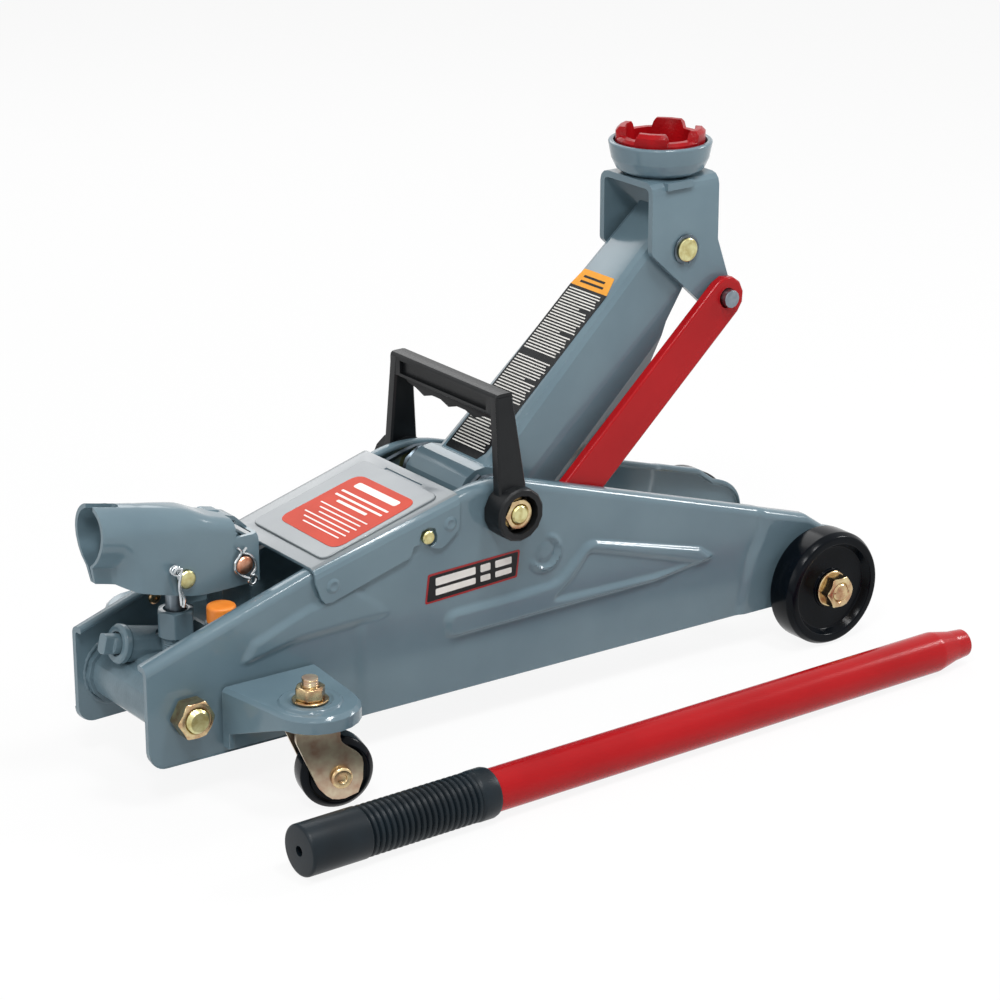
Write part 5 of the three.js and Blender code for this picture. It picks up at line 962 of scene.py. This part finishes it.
# the tab inside the front that stops the bar
STOP_TAB = rounded([(56, 124), (70, 118), (67, 127.4), (58, 129.4)], [0, 0, 2, 2], 4, closed=True)
soften(skin("handle_socket_stop", *prism_y(STOP_TAB, 4, 11), grey_enamel, "handle_socket"), 0.4)

PIN_HALF = [(4.6, 15.4), (4.0, 16.1), (3.2, 16.3), (0, 16.4)]
across("pump_pin", PIN_HALF, *PUMP_PIN, green_zinc, "handle_socket")
across("yoke_pin", PIN_HALF, *YOKE_PIN, pink_zinc, "chassis")


def turns_of_wire(x, z, radius, first, last, y_from, y_to):
    """A coil on the Y axis from one angle to another, in degrees."""
    count = max(8, int(abs(last - first) / 30))
    path = []
    for k in range(count + 1):
        share = k / count
        turn = radians(first + (last - first) * share)
        y = y_from + (y_to - y_from) * share
        path.append((x + radius * cos(turn), y, z + radius * sin(turn)))
    return path


# spring clips through the pins, from the pin's own centre: two legs and the coil that joins them
PUMP_CLIP = [
    (-4.6, -16.9, -11.5), (-5.2, -17.1, -6), (-6.2, -18.2, 0),
    *turns_of_wire(-7.2, 6.6, 1.9, 20, 1050, -19.4, -14.6),
    (-4.4, -15, 1), (-3.6, -15, -5.2), (-1.9, -15, -9.5), (-2.6, -15, -13.6),
]
YOKE_CLIP = [
    (-4.3, -15.3, 10.1), (-2, -15.3, 6.8), (-5.2, -15.3, 2.4), (-5, -15.3, -2), (-1.4, -15.4, -5.4),
    *turns_of_wire(4, -8.2, 2.3, 150, 450, -16.2, -14.6),
    (6.2, -15, -2.4), (5.2, -15, 2), (2.6, -15, 5), (-0.4, -15, 6.6), (1.3, -15, 9),
]
CLIP_WIRE = 0.8
for name, pin, clip, body in (
        ("pump_pin_clip", PUMP_PIN, PUMP_CLIP, "handle_socket"),
        ("yoke_pin_clip", YOKE_PIN, YOKE_CLIP, "chassis")):
    path = [(pin[0] + x, y, pin[1] + z) for x, y, z in clip]
    skin(f"{name}_bent", *wire(curve_through(path), CLIP_WIRE), clear_zinc, body, [name])

# ---- carry handle

dressed("carry_handle", handle_nylon, "carry_handle", 0.8, 3, 30, 45)

# ---- pump handle

BAR_START, BAR_END = (18.9, -137.95), (443.5, -130.05)
BAR_RUN = hypot(BAR_END[0] - BAR_START[0], BAR_END[1] - BAR_START[1])
BAR_TURN = atan2(BAR_END[1] - BAR_START[1], BAR_END[0] - BAR_START[0])
BAR_RADIUS, GRIP_RADIUS = 10.85, 12.75
# the bar lies on the floor at two places: the grip's thick end, and where the crimped end starts
GRIP_REST, BAR_REST = 100, BAR_RUN - 22
lean = asin((GRIP_RADIUS - BAR_RADIUS) / (BAR_REST - GRIP_REST))
bar_axis = (
    axis_z(*BAR_START, GRIP_RADIUS) @ Matrix.Rotation(BAR_TURN, 4, "Z")
    @ axis_z(0, 0, GRIP_REST * sin(lean)) @ Matrix.Rotation(pi / 2 + lean, 4, "Y"))
BAR = rounded([
    (9.25, 4.3), (BAR_RADIUS, 4.3), (BAR_RADIUS, BAR_REST), (8.2, BAR_RUN - 9), (7.4, BAR_RUN),
    (5.8, BAR_RUN), (9.25, BAR_REST),
], [0, 0.3, 12, 6, 0.4, 0.4, 6], 4)
skin("pump_handle_bar_tube", *turned(BAR, 48, bar_axis), red_enamel, "pump_handle", ["pump_handle_bar"])
# 19 moulded rings along the grip, each as (height along it, radius above its core)
RING, RING_STEP = ((0, 0.2), (0.7, 1.25), (1.9, 1.4), (2.7, 0.5)), 3.32
RINGS = [(11.15 + r, 34.5 + RING_STEP * k + h) for k in range(19) for h, r in RING]
GRIP = [
    (2.6, 0), *rounded([(2.6, 0), (GRIP_RADIUS, 0), (GRIP_RADIUS, 33), (11.9, 34)], [0, 1.6, 0.8, 0], 4)[1:],
    *RINGS, (12.6, 98), (GRIP_RADIUS, 99), (GRIP_RADIUS, 106.2), (12.2, 108), (11.2, 108), (11.15, 4), (2.6, 4),
]
skin("pump_handle_grip_moulded", *turned(GRIP, 64, bar_axis),
     grip_rubber, "pump_handle", ["pump_handle_grip"])

# ---- camera, light and floor

CAMERA = (-683.99, -1258.33, 660.86)
CAMERA_DOWN, CAMERA_TURN = radians(19.86), radians(-36.09)
eye = show("camera", bpy.data.cameras.new("camera"))
eye.location = at(*CAMERA)
eye.rotation_euler = (pi / 2 - CAMERA_DOWN, 0, CAMERA_TURN)
eye.data.lens = 114.92
eye.data.sensor_width = 36
bpy.context.scene.camera = eye


def sees_white(tree):
    """1 for the rays that find the floor and the sky plain white: camera, glossy and transmission rays."""
    rays = add(tree, "ShaderNodeLightPath").outputs
    seen = rays["Is Camera Ray"]
    for ray in ("Is Glossy Ray", "Is Transmission Ray"):
        seen = add(tree, "ShaderNodeMath", {0: seen, 1: rays[ray]}, operation="MAXIMUM").outputs[0]
    return seen


WHITE = linear("#FFFFFF")
# Matt white paper, which takes the object's shadow and otherwise melts into the backdrop:
# this share of it glows for the rays that see white
PAPER_GLOW = 0.9
paper = bpy.data.materials.new("pale_paper_floor")
paper.use_nodes = True
tree = paper.node_tree
tree.nodes.clear()
share = add(tree, "ShaderNodeMath", {0: sees_white(tree), 1: PAPER_GLOW}, operation="MULTIPLY")
matt = add(tree, "ShaderNodeBsdfDiffuse", {"Color": linear("#EFEFEF")})
glow = add(tree, "ShaderNodeEmission", {"Color": WHITE, "Strength": 1.0})
blend = add(tree, "ShaderNodeMixShader", {0: share.outputs[0], 1: matt.outputs[0], 2: glow.outputs[0]})
add(tree, "ShaderNodeOutputMaterial", {"Surface": blend.outputs[0]})
# half the floor's width, in metres
EDGE = 6
ground = at(0, 0, 0).z
corners = [(x, y, ground) for x, y in ((-EDGE, -EDGE), (EDGE, -EDGE), (EDGE, EDGE), (-EDGE, EDGE))]
floor_mesh = bpy.data.meshes.new("floor")
floor_mesh.from_pydata(corners, [], [[0, 1, 2, 3]])
floor_mesh.materials.append(paper)
floor = show("floor", floor_mesh)

# the studio lights the object by a soft dome, darker towards the floor, and shows as white
DOME_LOW, DOME_HIGH = 0.1, 0.5
world = bpy.data.worlds.new("studio")
bpy.context.scene.world = world
world.use_nodes = True
tree = world.node_tree
tree.nodes.clear()
where = add(tree, "ShaderNodeTexCoord").outputs["Generated"]
height = add(tree, "ShaderNodeSeparateXYZ", {"Vector": where}).outputs["Z"]
dome = add(tree, "ShaderNodeMapRange", {
    "Value": height, "From Min": -0.1, "From Max": 1.0, "To Min": DOME_LOW, "To Max": DOME_HIGH})
level = add(tree, "ShaderNodeMix", {"Factor": sees_white(tree), "A": dome.outputs["Result"], "B": 1.0})
sky = add(tree, "ShaderNodeBackground", {"Color": WHITE, "Strength": level.outputs["Result"]})
add(tree, "ShaderNodeOutputWorld", {"Surface": sky.outputs[0]})


def softbox(name, place, aim, size, power):
    """A round lamp at a place in millimetres, size metres across and of power watts."""
    lamp = bpy.data.lights.new(name, "AREA")
    lamp.shape = "DISK"
    lamp.size = size
    lamp.energy = power
    obj = show(name, lamp)
    obj.location = at(*place)
    obj.rotation_euler = (at(*aim) - at(*place)).to_track_quat("-Z", "Y").to_euler()


# three small ones draw the bright lines along bends and rims, and two broad ones fill the far sides
softbox("top", (300, -560, 1450), (200, 0, 80), 0.32, 8)
softbox("left", (-450, -700, 1350), (250, 0, 150), 0.32, 8)
softbox("front", (1450, -350, 850), (300, 0, 80), 0.32, 6)
softbox("back", (640, 1190, 1020), (135, 0, 114), 1.0, 6)
softbox("side", (-1250, -150, 700), (150, 0, 60), 0.9, 4)

bpy.context.scene.view_settings.view_transform = "Standard"
